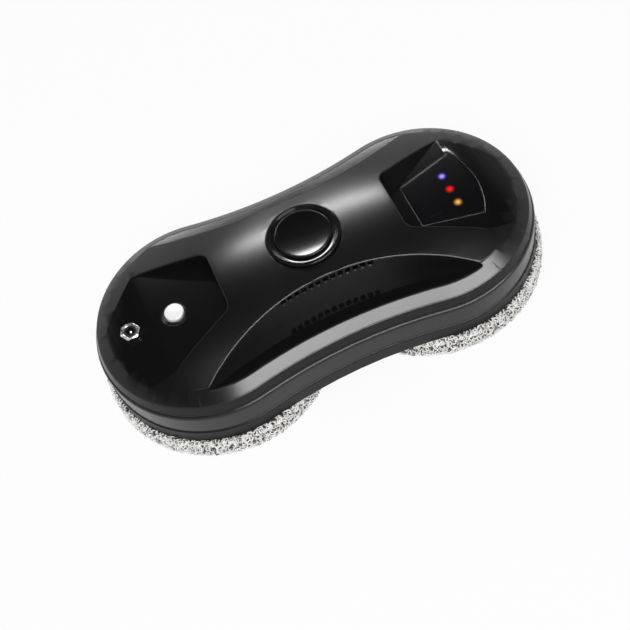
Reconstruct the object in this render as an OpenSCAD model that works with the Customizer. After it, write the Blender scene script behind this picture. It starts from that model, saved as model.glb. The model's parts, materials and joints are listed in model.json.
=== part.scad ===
// Window cleaning robot: a figure-8 body that hangs on the glass by suction
// and walks on two round pads that turn on their own centres.
// Origin: middle of the footprint, on the glass. X runs along the body, Z away from the glass.

/* [Body outline] */
// Distance from the middle of the body to the centre of each lobe
lobe_x = 78; // [74:0.5:84]
// Radius of each lobe at the rim
lobe_r = 71; // [68:0.5:74]
// How far each side of the waist is drawn in from the lobes' width
waist_in = 7.8; // [5:0.2:13]

/* [Top cover] */
// Wall of the cover
cover_wall = 2.4; // [1.8:0.1:3]
// Height of the cover's lower edge above the glass
cover_z = 50; // [49.6:0.1:52]
// How far the cover's lower edge stands outside the rim
cover_flare = 2.2; // [1.6:0.1:2.6]
// Height of the rim, where the side wall meets the chamfer
rim_z = 57; // [55:0.5:59]
// Width of the chamfer band, seen from above
band_in = 7.5; // [5:0.5:9]
// Height of the chamfer's upper edge
deck_rim_z = 62.6; // [61:0.2:64]
// Height of the ridge in the middle of the body
crown_z = 88; // [84:0.5:92]
// Radius of the ridge line along the body
ridge_r = 410; // [380:5:460]
// Radius of the crown across the body
cross_r = 160; // [140:5:220]

/* [Grip recesses] */
// Half distance between the two grip walls in the middle
grip_y = 33.3; // [31:0.1:36]
// Plan radius of each grip wall
grip_r = 175.7; // [165:0.1:190]
// Number of vent notches in each grip wall
vent_count = 13; // [5:2:15]
// Pitch of the vent notches along the wall
vent_pitch = 5; // [4:0.1:6]
// Width of a vent notch
vent_w = 2.6; // [1.6:0.1:3.2]
// Height of a vent notch
vent_h = 5; // [3:0.1:6]
// Height of the top of the vent notches
vent_z = 82; // [78:0.5:82.5]

/* [End decks] */
// Distance from the middle to the straight inner edge of each end recess
deck_x = 61.5; // [58:0.5:66]
// Half width of an end recess at its inner edge, before rounding
deck_half = 23.1; // [20:0.1:26]
// Angle at which the recess sides flare
deck_flare = 20.3; // [15:0.1:24]
// Corner radius of an end recess
deck_corner = 8; // [4:0.5:12]
// Height of the flat part of a deck
deck_z = 67; // [65:0.1:69]
// Length over which a deck falls to the rim
deck_fall = 33.5; // [26:0.5:42]

/* [Start button] */
// Outer radius of the ring round the start button
ring_r = 24; // [22:0.2:26]
// Height of the top of the ring
ring_z = 88.6; // [87:0.1:90]
// Radius of the start button
start_r = 18.4; // [16:0.1:19]
// Height of the button's edge
start_edge_z = 89.4; // [88.6:0.1:90.4]
// Height of the dome on the button
start_dome = 2.2; // [1:0.1:3]
// Travel of both push buttons
button_travel = 1.5; // [0.8:0.1:2]

/* [Power button] */
// Distance from the body's end in to the power button
power_in = 54.4; // [51:0.2:58]
// Radius of the power button
power_r = 6.2; // [5:0.1:7]
// Height of the top of the power button
power_z = 70; // [69:0.1:71.5]
// Outer radius of its ringed well
well_r = 8; // [7.4:0.1:9]

/* [Power inlet] */
// Distance from the body's end in to the power inlet
inlet_in = 24; // [21:0.5:28]
// Size of the hex nut across its corners
nut_across = 13.5; // [12:0.1:15]
// Height of the hex nut
nut_h = 4; // [3:0.1:5]
// Height of the flat seat under the nut
nut_seat_z = 66; // [65.6:0.1:67]
// Radius of the inlet's threaded barrel
barrel_r = 4.4; // [4:0.1:5]
// Radius of the inlet's bore, for a 5.5 mm plug
inlet_bore_r = 2.8; // [2.6:0.05:3.2]
// Depth of the inlet's bore
inlet_depth = 10; // [8:0.5:12]
// Radius of the centre pin
inlet_pin_r = 1.05; // [0.8:0.05:1.3]

/* [Light window] */
// Gap from the recess's inner edge to the window
window_gap = 12.5; // [10:0.5:16]
// Half width of the window at its inner edge
window_half_in = 17; // [14:0.5:19]
// Distance from the body's end in to the window's outer corners
window_in = 37; // [35:0.5:41]
// Half width of the window at its outer corners
window_half_out = 27; // [24:0.5:29]
// How far the outer edge bulges past its corners
window_bulge = 7; // [4:0.5:9]
// Thickness of the window
window_t = 1.4; // [1:0.1:1.6]
// Distance from the body's end in to the row of lights
light_in = 48; // [45:0.5:53]
// Pitch of the three lights
light_pitch = 12; // [9:0.5:13]
// Radius of a light
light_r = 2.4; // [1.5:0.1:3]

/* [Lower shells] */
// Height of the parting line between base and side shell
base_top_z = 30; // [29:0.2:32]
// Height of the base's lower edge
base_z = 17.8; // [17.4:0.1:19]
// How far the shells stand outside the rim
shell_out = 3.2; // [2.6:0.1:3.6]
// Wall of the lower shells
shell_wall = 2.8; // [2.2:0.1:3.2]
// Height of the side shell's upper edge
shell_top_z = 49.2; // [48.6:0.1:49.4]
// Width of the rounded lip on the side shell
lip_in = 1.4; // [0.8:0.1:1.8]
// Height of the rounded lip on the side shell
lip_h = 1.8; // [1:0.1:2.4]
// Height of the underside of the base's floor
floor_z = 20; // [19.6:0.1:21]
// Thickness of the base's floor
floor_t = 3; // [2:0.1:3.2]

/* [Pads] */
// Gap between the two cleaning pads
pad_gap = 3; // [2:0.5:8]
// Radius of the suction hollow in a pad
pad_hollow_r = 26; // [22:0.5:30]
// Thickness of the pad under the wheel
pad_t = 7; // [5:0.5:8]
// Height of the pad's turned-up edge
pad_h = 17.3; // [14:0.1:17.4]
// Width of the pad's turned-up edge
pad_side = 6.5; // [4:0.5:8]
// Rounding of the pad's outer edges
pad_round = 4.5; // [2:0.5:5]
// Thickness of the hook ring between pad and wheel
hook_t = 1; // [0.6:0.1:1.6]
// Thickness of the wheel's disc
wheel_t = 5; // [3.5:0.5:6]

/* [Hubs] */
// Outer radius of a hub
hub_r = 11; // [10:0.5:12]
// Radius of the air way through a hub
hub_bore_r = 7; // [5:0.5:8]
// Running clearance of shafts and hubs
run_gap = 0.05; // [0.03:0.01:0.08]
// Wall of a hub bush
bush_t = 3; // [2:0.5:4]
// Radius of the flange on a hub bush
bush_flange_r = 17; // [16:0.5:19]

/* [Gear trains] */
// Pitch diameter of the gear of a pad
output_d = 60; // [54:1:62]
// Teeth on the gear of a pad
output_teeth = 60; // [56:2:60]
// Teeth on the idler
idler_teeth = 24; // [22:2:26]
// Teeth on the motor's pinion
pinion_teeth = 12; // [12:1:14]
// Face width of the gears
gear_w = 6; // [4:0.5:6]
// Play between the teeth
backlash = 0.2; // [0.12:0.01:0.3]
// Direction from a hub to its idler
idler_dir = 110; // [106:1:114]
// Direction from an idler to its motor pinion
pinion_dir = 168; // [160:1:176]
// Radius of an idler's axle
axle_r = 2; // [1.5:0.1:2.4]
// Radius of a motor shaft
shaft_r = 1.5; // [1:0.1:2]
// Radius of a drive motor
motor_r = 12; // [10:0.5:13]
// Height of a drive motor
motor_h = 24; // [20:0.5:24.5]
// Height of the gear plate's underside
plate_z = 32; // [31.6:0.1:33]
// Thickness of a gear plate
plate_t = 2; // [1.5:0.1:2.5]

/* [Suction] */
// Half width of the air duct
duct_half = 11; // [10:0.5:12]
// Height of the air duct
duct_h = 10; // [8:0.5:11]
// Wall of the duct and the fan housing
duct_wall = 1.6; // [1.2:0.1:2]
// Outer radius of the fan housing
fan_r = 27; // [25:0.5:28]
// Height of the fan housing
fan_h = 16; // [13:0.5:17]
// Number of impeller blades
blade_count = 9; // [7:1:12]
// Radius of the fan motor
fan_motor_r = 12; // [10:0.5:14]
// Height of the fan motor
fan_motor_h = 16; // [12:0.5:16.5]

/* [Electrics] */
// Diameter of a battery cell
cell_d = 18.2; // [17:0.1:18.4]
// Length of a battery cell
cell_l = 65; // [60:0.5:66]
// Wall of the battery's tray
tray_wall = 1.2; // [0.8:0.1:1.4]
// Length of the main board
board_l = 56; // [50:1:58]
// Width of the main board
board_w = 34; // [28:1:36]
// Thickness of circuit boards
board_t = 1.6; // [1:0.1:2]

/* [Fasteners] */
// Distance from the rim in to the case screws of the lobes
screw_in = 10.5; // [10:0.1:12]
// Direction from a lobe's centre to its case screws
screw_dir = 55.8; // [50:0.1:60]
// Distance from the rim in to the waist screws
screw_waist_in = 9.2; // [8.2:0.1:11]
// Radius of a screw's shank
screw_r = 1.4; // [1.2:0.1:1.6]
// Radius of a screw's head
screw_head_r = 2.8; // [2.4:0.1:2.9]
// Radius of the bosses that take the screws
boss_r = 3.6; // [3.4:0.1:4]

/* [Hidden] */
$fn = 96;
RIGHT = 1;
LEFT = -1;

// Overrun of every cut, and the rest gap between bodies that move past each other
over = 1;
rest_gap = 0.3;
// Clearance of a piece that is dropped into its hole
fit_gap = 0.1;

// The waist arc touches both lobes, so its radius and centre follow from the plan sizes
waist_half = lobe_r - waist_in;
waist_r = (lobe_x * lobe_x + waist_half * waist_half - lobe_r * lobe_r) / (2 * waist_in);
waist_cy = waist_half + waist_r;
waist_turn = atan(lobe_x / waist_cy);
// Steps in half a lobe's arc and in a waist arc
lobe_steps = 20;
waist_steps = 8;

// Crown
crown_depth = 45;
crown_sweep = 23;
crown_steps = 21;
grip_cy = grip_y + grip_r;
// Deck: flat, then a parabola that meets the chamfer's upper edge
body_end = lobe_x + lobe_r;
deck_end_x = body_end - band_in;
deck_bend_x = deck_end_x - deck_fall;
deck_steps = 8;
corner_steps = 6;

// Places of the controls, measured in from the body's end
power_x = body_end - power_in;
inlet_x = body_end - inlet_in;
window_x = deck_x + window_gap;
window_far_x = body_end - window_in;
light_x = body_end - light_in;

// Heights that follow one from another
floor_top = floor_z + floor_t;
bush_top = floor_top + over;
gear_z = bush_top + rest_gap;
gear_top = gear_z + gear_w;
clip_t = 1;
hub_top = gear_top + clip_t;
plate_top = plate_z + plate_t;
duct_top = plate_top + duct_h;
fan_top = duct_top + fan_h;
hook_z = pad_t;
wheel_z = hook_z + hook_t;
wheel_top = wheel_z + wheel_t;
bush_flange_t = 1;
bush_flange_z = floor_z - bush_flange_t;
pad_r = lobe_x - pad_gap / 2;
wheel_r = pad_r - pad_side;

// Gear centres, from the right hub at the origin of its side
gear_m = output_d / output_teeth;
output_r = output_d / 2;
idler_r = gear_m * idler_teeth / 2;
pinion_r = gear_m * pinion_teeth / 2;
idler_at = [lobe_x, 0] + (output_r + idler_r) * dir(idler_dir);
pinion_at = idler_at + (idler_r + pinion_r) * dir(pinion_dir);
// Turns that bring the teeth into mesh
output_turn = idler_dir;
idler_turn = idler_dir + 180 + 180 / idler_teeth;
idler_share = (pinion_dir - idler_turn) * idler_teeth / 360;
pinion_turn = pinion_dir + 180 - (0.5 - idler_share) * 360 / pinion_teeth;
pressure = 20;
gear_clear_share = 0.25;

// Posts that carry the gear plate, from the right side
post_r = 2.8;
post_reach = 35;
post_dir = 25;
tray_in = 32;
tray_out = 26;
tray_y = 47;
tray_x0 = lobe_x - tray_in;
tray_x1 = lobe_x + tray_out;
post_in = 4;
plate_edge = 4;
POSTS = [[tray_x1 - post_in, -tray_y + post_in], [tray_x0 + post_in, -tray_y + post_in],
         [lobe_x, 0] + post_reach * dir(post_dir),
         [pinion_at[0] - motor_r + rest_gap, pinion_at[1]]];
screw_x = lobe_x + (lobe_r - screw_in) * cos(screw_dir);
screw_y = (lobe_r - screw_in) * sin(screw_dir);
SCREWS = concat([for (s = [-1, 1]) [0, s * (waist_half - screw_waist_in)]],
                [for (i = [-1, 1]) for (j = [-1, 1]) [i * screw_x, j * screw_y]]);

black = "#141416";
dark = "#26272b";
steel = "#b9bdc2";

// Involute helpers
function inv(a) = tan(a) * 180 / PI - a;
function tooth_half(r, base_r, teeth, play) =
    90 / teeth + inv(pressure) - inv(acos(min(1, base_r / r))) - play / (gear_m * teeth) * 180 / PI;

function unit(v) = v / norm(v);
function dir(a) = [cos(a), sin(a)];

// Points of an arc that rounds the corner b between a and c
function turn_by(a) = a > 180 ? a - 360 : a < -180 ? a + 360 : a;
function corner(a, b, c, r) =
    let (u = unit(a - b), v = unit(c - b), half = acos(u * v) / 2,
         mid = b + unit(u + v) * r / sin(half),
         p = b + u * r / tan(half) - mid, q = b + v * r / tan(half) - mid,
         from = atan2(p[1], p[0]), sweep = turn_by(atan2(q[1], q[0]) - from))
    [for (i = [0 : corner_steps]) mid + r * dir(from + sweep * i / corner_steps)];

// One side of the machine: the left side is the right one turned half round
module on_side(side) {
    rotate([0, 0, side == RIGHT ? 0 : 180]) children();
}

// Outline of the body at a distance outside the rim, anticlockwise from its right end
function outline(out) =
    let (r = lobe_r + out, wr = waist_r - out, sweep = 90 + waist_turn)
    concat([for (i = [0 : lobe_steps]) [lobe_x, 0] + r * dir(sweep * i / lobe_steps)],
           [for (i = [1 : waist_steps - 1])
               [0, waist_cy] + wr * dir(waist_turn * (1 - 2 * i / waist_steps) - 90)],
           [for (i = [0 : 2 * lobe_steps]) [-lobe_x, 0] + r * dir(180 - sweep + sweep * i / lobe_steps)],
           [for (i = [1 : waist_steps - 1])
               [0, -waist_cy] + wr * dir(90 + waist_turn * (1 - 2 * i / waist_steps))],
           [for (i = [0 : lobe_steps - 1]) [lobe_x, 0] + r * dir(sweep * (i / lobe_steps - 1))]);

// Figure-8 solid from a list of levels, each [distance outside the rim, height]
module eight(levels) {
    n = len(outline(0));
    top = (len(levels) - 1) * n;
    half = n / 2;
    polyhedron(
        points = [for (l = levels) for (p = outline(l[0])) [p[0], p[1], l[1]]],
        faces = concat(
            [for (j = [0 : len(levels) - 2]) for (i = [0 : n - 1])
                let (a = j * n + i, b = j * n + (i + 1) % n) [a, a + n, b + n, b]],
            [[0, 1, n - 1], [half - 1, half, half + 1],
             [top, top + n - 1, top + 1], [top + half - 1, top + half + 1, top + half]],
            [for (k = [1 : half - 2]) [k, k + 1, n - k - 1, n - k]],
            [for (k = [1 : half - 2]) [top + k, top + n - k, top + n - k - 1, top + k + 1]]));
}

// The same with upright walls
module eight_prism(out, low, high) {
    translate([0, 0, low]) linear_extrude(high - low) polygon(outline(out));
}

// Band that follows the outline between two distances from the rim
module eight_band(out, inn, low, high) {
    difference() {
        eight_prism(out, low, high);
        eight_prism(inn, low - over, high + over);
    }
}

// Solid under the crowned top, lowered by t
module crown(t) {
    translate([0, 0, crown_z - ridge_r])
        rotate([90, 0, 0])
            rotate_extrude(angle = 2 * crown_sweep, start = 90 - crown_sweep)
                polygon(concat([[ridge_r - crown_depth, lobe_r], [ridge_r - crown_depth, -lobe_r]],
                               [for (i = [-crown_steps : 2 : crown_steps])
                                   let (y = lobe_r * i / crown_steps)
                                   [ridge_r - t - cross_r + sqrt(cross_r * cross_r - y * y), y]]));
}

// Height of an end deck at a distance x from the middle
function deck_at(x) =
    deck_z - (deck_z - deck_rim_z) * pow(max(0, x - deck_bend_x) / (deck_end_x - deck_bend_x), 2);
// Height of the ridge there
function ridge_at(x) = crown_z - ridge_r + sqrt(ridge_r * ridge_r - x * x);

// Solid under an end deck, lowered by t
module under_deck(t, low) {
    x1 = lobe_x + lobe_r;
    rotate([90, 0, 0])
        linear_extrude(2 * lobe_r, center = true)
            polygon(concat([[x1, low], [0, low], [0, deck_z - t]],
                           [for (i = [0 : deck_steps])
                               let (x = deck_bend_x + (x1 - deck_bend_x) * i / deck_steps)
                               [x, deck_at(x) - t]]));
}

// Plan of an end recess, grown by t
module deck_plan(t) {
    x0 = deck_x - t;
    y0 = deck_half - t * tan(deck_flare) + t / cos(deck_flare);
    x1 = lobe_x + 2 * lobe_r;
    y1 = y0 + (x1 - x0) * tan(deck_flare);
    polygon(concat([[x1, y1]], corner([x1, y1], [x0, y0], [x0, -y0], deck_corner + t),
                   corner([x0, y0], [x0, -y0], [x1, -y1], deck_corner + t), [[x1, -y1]]));
}

module deck_cut(t) {
    low = deck_rim_z - t - over;
    difference() {
        translate([0, 0, low])
            linear_extrude(crown_z + over - low)
                deck_plan(t);
        under_deck(t, low - over);
    }
}

// Cover as a solid, with every face moved in by t
module cover_form(t) {
    low = t > 0 ? cover_z - over : cover_z;
    eight([[cover_flare - t, low], [cover_flare - t, cover_z], [-t, rim_z],
           [-band_in - t, deck_rim_z - t]]);
    difference() {
        intersection() {
            eight_prism(-band_in - t, deck_rim_z - t, crown_z + over);
            crown(t);
        }
        for (s = [-1, 1])
            translate([0, s * grip_cy, deck_rim_z - t])
                cylinder(r = grip_r + t, h = crown_depth, $fn = 180);
        on_side(RIGHT) deck_cut(t);
        on_side(LEFT) deck_cut(t);
    }
}

module vent_slots() {
    step = vent_pitch / grip_r * 180 / PI;
    reach = cover_wall + over;
    for (s = [0, 180])
        rotate([0, 0, s])
            translate([0, -grip_cy, 0])
                for (i = [0 : vent_count - 1])
                    rotate([0, 0, (i - (vent_count - 1) / 2) * step])
                        translate([0, grip_r + reach, vent_z - vent_h])
                            rotate([90, 0, 0])
                                linear_extrude(2 * reach) {
                                    translate([0, vent_w / 2]) circle(r = vent_w / 2, $fn = 24);
                                    translate([-vent_w / 2, vent_w / 2])
                                        square([vent_w, vent_h - vent_w / 2]);
                                }
}

module window_plan(grow) {
    x0 = window_x - grow;
    x1 = window_far_x;
    arc_r = (pow(window_half_out, 2) + pow(window_bulge, 2)) / (2 * window_bulge);
    turn = asin(window_half_out / arc_r);
    cx = window_far_x + window_bulge - arc_r;
    polygon(concat([[x0, window_half_in + grow], [x0, -window_half_in - grow]],
                   [for (i = [-corner_steps : corner_steps])
                       [cx + (arc_r + grow) * cos(turn * i / corner_steps),
                        (arc_r + grow) * sin(turn * i / corner_steps)]]));
}

// Slab that follows the deck between two depths
module deck_slab(top, bottom) {
    difference() {
        under_deck(top, deck_rim_z - crown_depth);
        under_deck(bottom, deck_rim_z - crown_depth - over);
    }
}

light_boss_x = light_x - light_pitch;
light_boss_y = light_pitch + light_r;
light_boss_r = 2;
light_drop = 4.4;
light_board_z = deck_z - cover_wall - light_drop;
light_board_top = light_board_z + board_t;
light_board_l = 26;
light_board_w = 38;
collar = 0.4;

// Inside of the cover, with the screw bosses left standing in it
module cover_cavity() {
    difference() {
        cover_form(cover_wall);
        for (p = SCREWS)
            translate([p[0], p[1], rim_z - crown_depth])
                cylinder(r = boss_r, h = 2 * crown_depth, $fn = 32);
    }
}

module cover_openings() {
    translate([0, 0, crown_z - crown_depth])
        cylinder(r = ring_r + fit_gap, h = 2 * crown_depth);
    translate([-power_x, 0, rim_z])
        cylinder(r = well_r + fit_gap, h = crown_depth);
    translate([-inlet_x, 0, rim_z])
        cylinder(r = barrel_r + fit_gap, h = crown_depth);
    translate([-inlet_x, 0, nut_seat_z])
        cylinder(r = nut_across / 2 + fit_gap, h = crown_depth);
    for (i = [-1 : 1])
        translate([light_x, i * light_pitch, rim_z])
            cylinder(r = light_r + fit_gap, h = crown_depth, $fn = 32);
    intersection() {
        translate([0, 0, rim_z]) linear_extrude(crown_depth) window_plan(fit_gap);
        deck_slab(-over, window_t);
    }
}

module top_cover() {
    color(black)
        difference() {
            union() {
                difference() {
                    cover_form(0);
                    cover_cavity();
                    cover_openings();
                    vent_slots();
                }
                difference() {
                    translate([-inlet_x, 0, nut_seat_z - cover_wall])
                        cylinder(r = nut_across / 2 + over, h = cover_wall);
                    translate([-inlet_x, 0, rim_z])
                        cylinder(r = barrel_r + fit_gap, h = crown_depth);
                }
                for (p = SCREWS)
                    translate([p[0], p[1], plate_top])
                        cylinder(r = boss_r + collar, h = cover_z + over - plate_top, $fn = 32);
                for (s = [-1, 1])
                    translate([light_boss_x, s * light_boss_y, light_board_top])
                        cylinder(r = light_boss_r, $fn = 24,
                                 h = deck_z - (window_t + cover_wall) / 2 - light_board_top);
            }
            for (p = SCREWS)
                translate([p[0], p[1], plate_top - over])
                    cylinder(r = screw_r, h = screw_grip + over, $fn = 24);
        }
}

module side_shell() {
    color(black)
        difference() {
            eight([[shell_out - lip_in / 2, base_top_z], [shell_out, shell_top_z - lip_h - lip_h],
                   [shell_out, shell_top_z - lip_h],
                   [shell_out - lip_in / 3, shell_top_z - lip_h / 3],
                   [shell_out - lip_in, shell_top_z]]);
            eight_prism(shell_out - shell_wall, base_top_z - over, shell_top_z + over);
        }
}

screw_head_h = 2;
screw_grip = 12;
module base_shell() {
    inn = shell_out - shell_wall;
    color(dark)
        difference() {
            union() {
                difference() {
                    eight([[shell_out - lip_in / 3, base_z], [shell_out, base_top_z - lip_h / 2],
                           [shell_out - lip_in / 2, base_top_z]]);
                    eight_prism(inn, base_z - over, floor_z);
                    eight_prism(inn, floor_top, base_top_z + over);
                }
                for (p = SCREWS)
                    translate([p[0], p[1], floor_top])
                        cylinder(r = boss_r, h = plate_top - floor_top, $fn = 32);
                for (side = [LEFT, RIGHT])
                    on_side(side) {
                        for (p = POSTS)
                            translate([p[0], p[1], floor_top])
                                cylinder(r = post_r, h = plate_z - floor_top, $fn = 32);
                        translate([idler_at[0], idler_at[1], floor_top])
                            cylinder(r = 2 * axle_r, h = gear_z - rest_gap - floor_top, $fn = 32);
                    }
            }
            for (p = SCREWS)
                translate([p[0], p[1], 0]) {
                    translate([0, 0, floor_z - over])
                        cylinder(r = screw_head_r + fit_gap, h = screw_head_h + over, $fn = 32);
                    cylinder(r = screw_r, h = plate_top + over, $fn = 24);
                }
            for (side = [LEFT, RIGHT])
                on_side(side) {
                    translate([lobe_x, 0, floor_z - over])
                        cylinder(r = hub_r + run_gap + bush_t, h = floor_t + 2 * over);
                    translate([idler_at[0], idler_at[1], floor_z + over])
                        cylinder(r = axle_r, h = gear_z, $fn = 32);
                }
        }
}

module cover_gasket() {
    inn = shell_out - shell_wall;
    color("#3a3b3f")
        eight_band(inn + (cover_flare - inn) / 2, inn, shell_top_z, cover_z);
}

// Cup that carries a push button: rim, bore and floor
module button_cup(r, bore, low, high, floor_h) {
    difference() {
        translate([0, 0, low]) cylinder(r = r, h = high - low);
        translate([0, 0, low + floor_h]) cylinder(r = bore, h = high - low);
    }
}

cup_floor = 2;
ring_depth = 10;
cap_drop = 2.6;
start_floor_z = ring_z - ring_depth;
start_under_z = ring_z - cap_drop;
switch_h = 3;
plunger_h = 0.8;
switch_half = 3;
start_stem_r = 3;
spring_wire = 1;
dome_steps = 8;
start_spring_r = 9;
module start_ring() {
    color(black)
        difference() {
            button_cup(ring_r, start_r + rest_gap, start_floor_z, ring_z, cup_floor);
            translate([0, 0, ring_z])
                rotate_extrude()
                    polygon([[start_r + rest_gap - over, over], [start_r + rest_gap + over, over],
                             [start_r + rest_gap + over, 0], [start_r + rest_gap, -over],
                             [start_r + rest_gap - over, -over]]);
        }
}

module start_button() {
    dome_r = (start_r * start_r + start_dome * start_dome) / (2 * start_dome);
    dome_cz = start_edge_z + start_dome - dome_r;
    stem_z = start_floor_z + cup_floor + switch_h + plunger_h + button_travel + rest_gap;
    color(black)
        rotate_extrude()
            polygon(concat([[0, stem_z], [start_stem_r, stem_z], [start_stem_r, start_under_z],
                            [start_r, start_under_z]],
                           [for (i = [dome_steps : -1 : 0])
                               let (x = start_r * i / dome_steps)
                               [x, dome_cz + sqrt(dome_r * dome_r - x * x)]]));
}

// Return spring, drawn at its pressed height, standing on the cup's floor
module spring_sleeve(r, low, high) {
    translate([0, 0, low])
        difference() {
            cylinder(r = r + spring_wire / 2, h = high - low, $fn = 48);
            translate([0, 0, -over]) cylinder(r = r - spring_wire / 2, h = high - low + 2 * over, $fn = 48);
        }
}

module start_spring() {
    color(steel)
        spring_sleeve(start_spring_r, start_floor_z + cup_floor, start_under_z - button_travel - rest_gap);
}

module push_switch(z) {
    translate([-switch_half, -switch_half, z]) cube([2 * switch_half, 2 * switch_half, switch_h]);
    translate([0, 0, z + switch_h]) cylinder(r = switch_half / 2, h = plunger_h, $fn = 24);
}

module start_switch() {
    color(dark) push_switch(start_floor_z + cup_floor);
}

well_rise = 0.9;
power_floor_z = deck_z - 10.4;
power_under_z = deck_z - 2;
power_stem_r = 2;
power_spring_r = 5;
module power_well() {
    color(dark)
        translate([-power_x, 0, 0])
            button_cup(well_r, power_r + rest_gap, power_floor_z, deck_z + well_rise, cup_floor);
}

power_bevel = 0.8;
module power_button() {
    stem_z = power_floor_z + cup_floor + switch_h + plunger_h + button_travel + rest_gap;
    color("#f4f4f2")
        translate([-power_x, 0, 0]) {
            translate([0, 0, power_under_z]) cylinder(r = power_r, h = power_z - power_bevel - power_under_z);
            translate([0, 0, power_z - power_bevel])
                cylinder(r1 = power_r, r2 = power_r - power_bevel, h = power_bevel);
            translate([0, 0, stem_z]) cylinder(r = power_stem_r, h = power_under_z - stem_z, $fn = 32);
        }
}

module power_spring() {
    color(steel)
        translate([-power_x, 0, 0])
            spring_sleeve(power_spring_r, power_floor_z + cup_floor,
                          power_under_z - button_travel - rest_gap);
}

module power_switch() {
    color(dark) translate([-power_x, 0, 0]) push_switch(power_floor_z + cup_floor);
}

module inlet_nut() {
    color(steel)
        translate([-inlet_x, 0, nut_seat_z])
            difference() {
                cylinder(r = nut_across / 2, h = nut_h, $fn = 6);
                translate([0, 0, -over]) cylinder(r = barrel_r, h = nut_h + 2 * over);
            }
}

inlet_flange = 2;
module inlet_socket() {
    edge_x = inlet_x + nut_across / 2;
    flange_z = min(deck_at(edge_x), ridge_at(edge_x)) - cover_wall - fit_gap - inlet_flange;
    low = nut_seat_z + nut_h - inlet_depth - cup_floor;
    color(dark)
        translate([-inlet_x, 0, 0])
            difference() {
                union() {
                    translate([0, 0, low]) cylinder(r = barrel_r, h = inlet_depth + cup_floor);
                    translate([0, 0, flange_z]) cylinder(r = nut_across / 2, h = inlet_flange);
                }
                translate([0, 0, low + cup_floor]) cylinder(r = inlet_bore_r, h = inlet_depth + over);
            }
}

module inlet_pin() {
    low = nut_seat_z + nut_h - inlet_depth;
    color(steel)
        translate([-inlet_x, 0, low])
            cylinder(r = inlet_pin_r, h = inlet_depth - over, $fn = 24);
}

module light_window() {
    color("#08080a")
        intersection() {
            translate([0, 0, rim_z]) linear_extrude(crown_depth) window_plan(0);
            deck_slab(0, window_t);
        }
}

module light_board() {
    color("#1f5c3a")
        translate([light_x - light_board_l / 2, -light_board_w / 2, light_board_z])
            cube([light_board_l, light_board_w, board_t]);
}

module status_lights() {
    hues = ["#ffb020", "#ff2020", "#3030ff"];
    for (i = [-1 : 1])
        color(hues[i + 1])
            translate([light_x, i * light_pitch, light_board_z + board_t])
                cylinder(r = light_r, h = deck_z - window_t - rest_gap - light_board_z - board_t, $fn = 32);
}

// Plate over a gear train, with the hole that lets the air through
module gear_plate(side) {
    color("#4a4c52")
        on_side(side)
            difference() {
                translate([0, 0, plate_z])
                    linear_extrude(plate_t) {
                        translate([lobe_x, 0]) circle(r = post_reach + plate_edge);
                        translate([tray_x0, -tray_y]) square([tray_x1 - tray_x0, tray_y]);
                        translate(idler_at) circle(r = idler_r + plate_edge);
                        translate(pinion_at) circle(r = motor_r + plate_edge);
                    }
                translate([lobe_x, 0, plate_z - over]) cylinder(r = hub_bore_r, h = plate_t + 2 * over);
                translate([idler_at[0], idler_at[1], plate_z - over])
                    cylinder(r = axle_r, h = plate_t + 2 * over, $fn = 32);
                translate([pinion_at[0], pinion_at[1], plate_z - over])
                    cylinder(r = 2 * shaft_r, h = plate_t + 2 * over, $fn = 32);
            }
}

motor_base_h = 3;
// Length of a shaft inside its motor
shaft_grip = 6;
module drive_motor(side) {
    color(steel)
        on_side(side)
            translate([pinion_at[0], pinion_at[1], plate_top])
                difference() {
                    union() {
                        cylinder(r = motor_r, h = motor_base_h);
                        translate([0, 0, motor_base_h])
                            cylinder(r = motor_r - over, h = motor_h - motor_base_h);
                    }
                    translate([0, 0, -over])
                        cylinder(r = shaft_r + run_gap, h = shaft_grip + rest_gap + over, $fn = 48);
                }
}

module tooth_ring(teeth) {
    pitch_r = gear_m * teeth / 2;
    base_r = pitch_r * cos(pressure);
    root_r = pitch_r - gear_m * (1 + gear_clear_share);
    tip_r = pitch_r + gear_m;
    start = max(base_r, root_r);
    radii = [start, start + (tip_r - start) / 3, start + (tip_r - start) * 2 / 3, tip_r];
    play = backlash / 2;
    foot = tooth_half(start, base_r, teeth, play);
    polygon([for (i = [0 : teeth - 1])
                let (a = i * 360 / teeth)
                for (p = concat([[root_r, -foot]],
                                [for (r = radii) [r, -tooth_half(r, base_r, teeth, play)]],
                                [for (j = [3 : -1 : 0])
                                    [radii[j], tooth_half(radii[j], base_r, teeth, play)]],
                                [[root_r, foot]]))
                p[0] * dir(a + p[1])]);
}

module motor_pinion(side) {
    color("#e8e4d8")
        on_side(side)
            translate([pinion_at[0], pinion_at[1], 0]) {
                translate([0, 0, gear_z])
                    rotate([0, 0, pinion_turn]) linear_extrude(gear_w) tooth_ring(pinion_teeth);
                translate([0, 0, gear_top])
                    cylinder(r = shaft_r, h = plate_top + shaft_grip - gear_top, $fn = 48);
            }
}

module idler_gear(side) {
    color("#e8e4d8")
        on_side(side)
            translate([idler_at[0], idler_at[1], gear_z])
                difference() {
                    rotate([0, 0, idler_turn]) linear_extrude(gear_w) tooth_ring(idler_teeth);
                    translate([0, 0, -over]) cylinder(r = axle_r + run_gap, h = gear_w + 2 * over, $fn = 48);
                }
}

module idler_axle(side) {
    color(steel)
        on_side(side)
            translate([idler_at[0], idler_at[1], floor_z + over])
                cylinder(r = axle_r, h = plate_top - floor_z - over, $fn = 48);
}

module output_gear(side) {
    color("#e8e4d8")
        on_side(side)
            translate([lobe_x, 0, gear_z])
                difference() {
                    rotate([0, 0, output_turn]) linear_extrude(gear_w) tooth_ring(output_teeth);
                    translate([0, 0, -over]) cylinder(r = hub_r, h = gear_w + 2 * over);
                }
}

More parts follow.
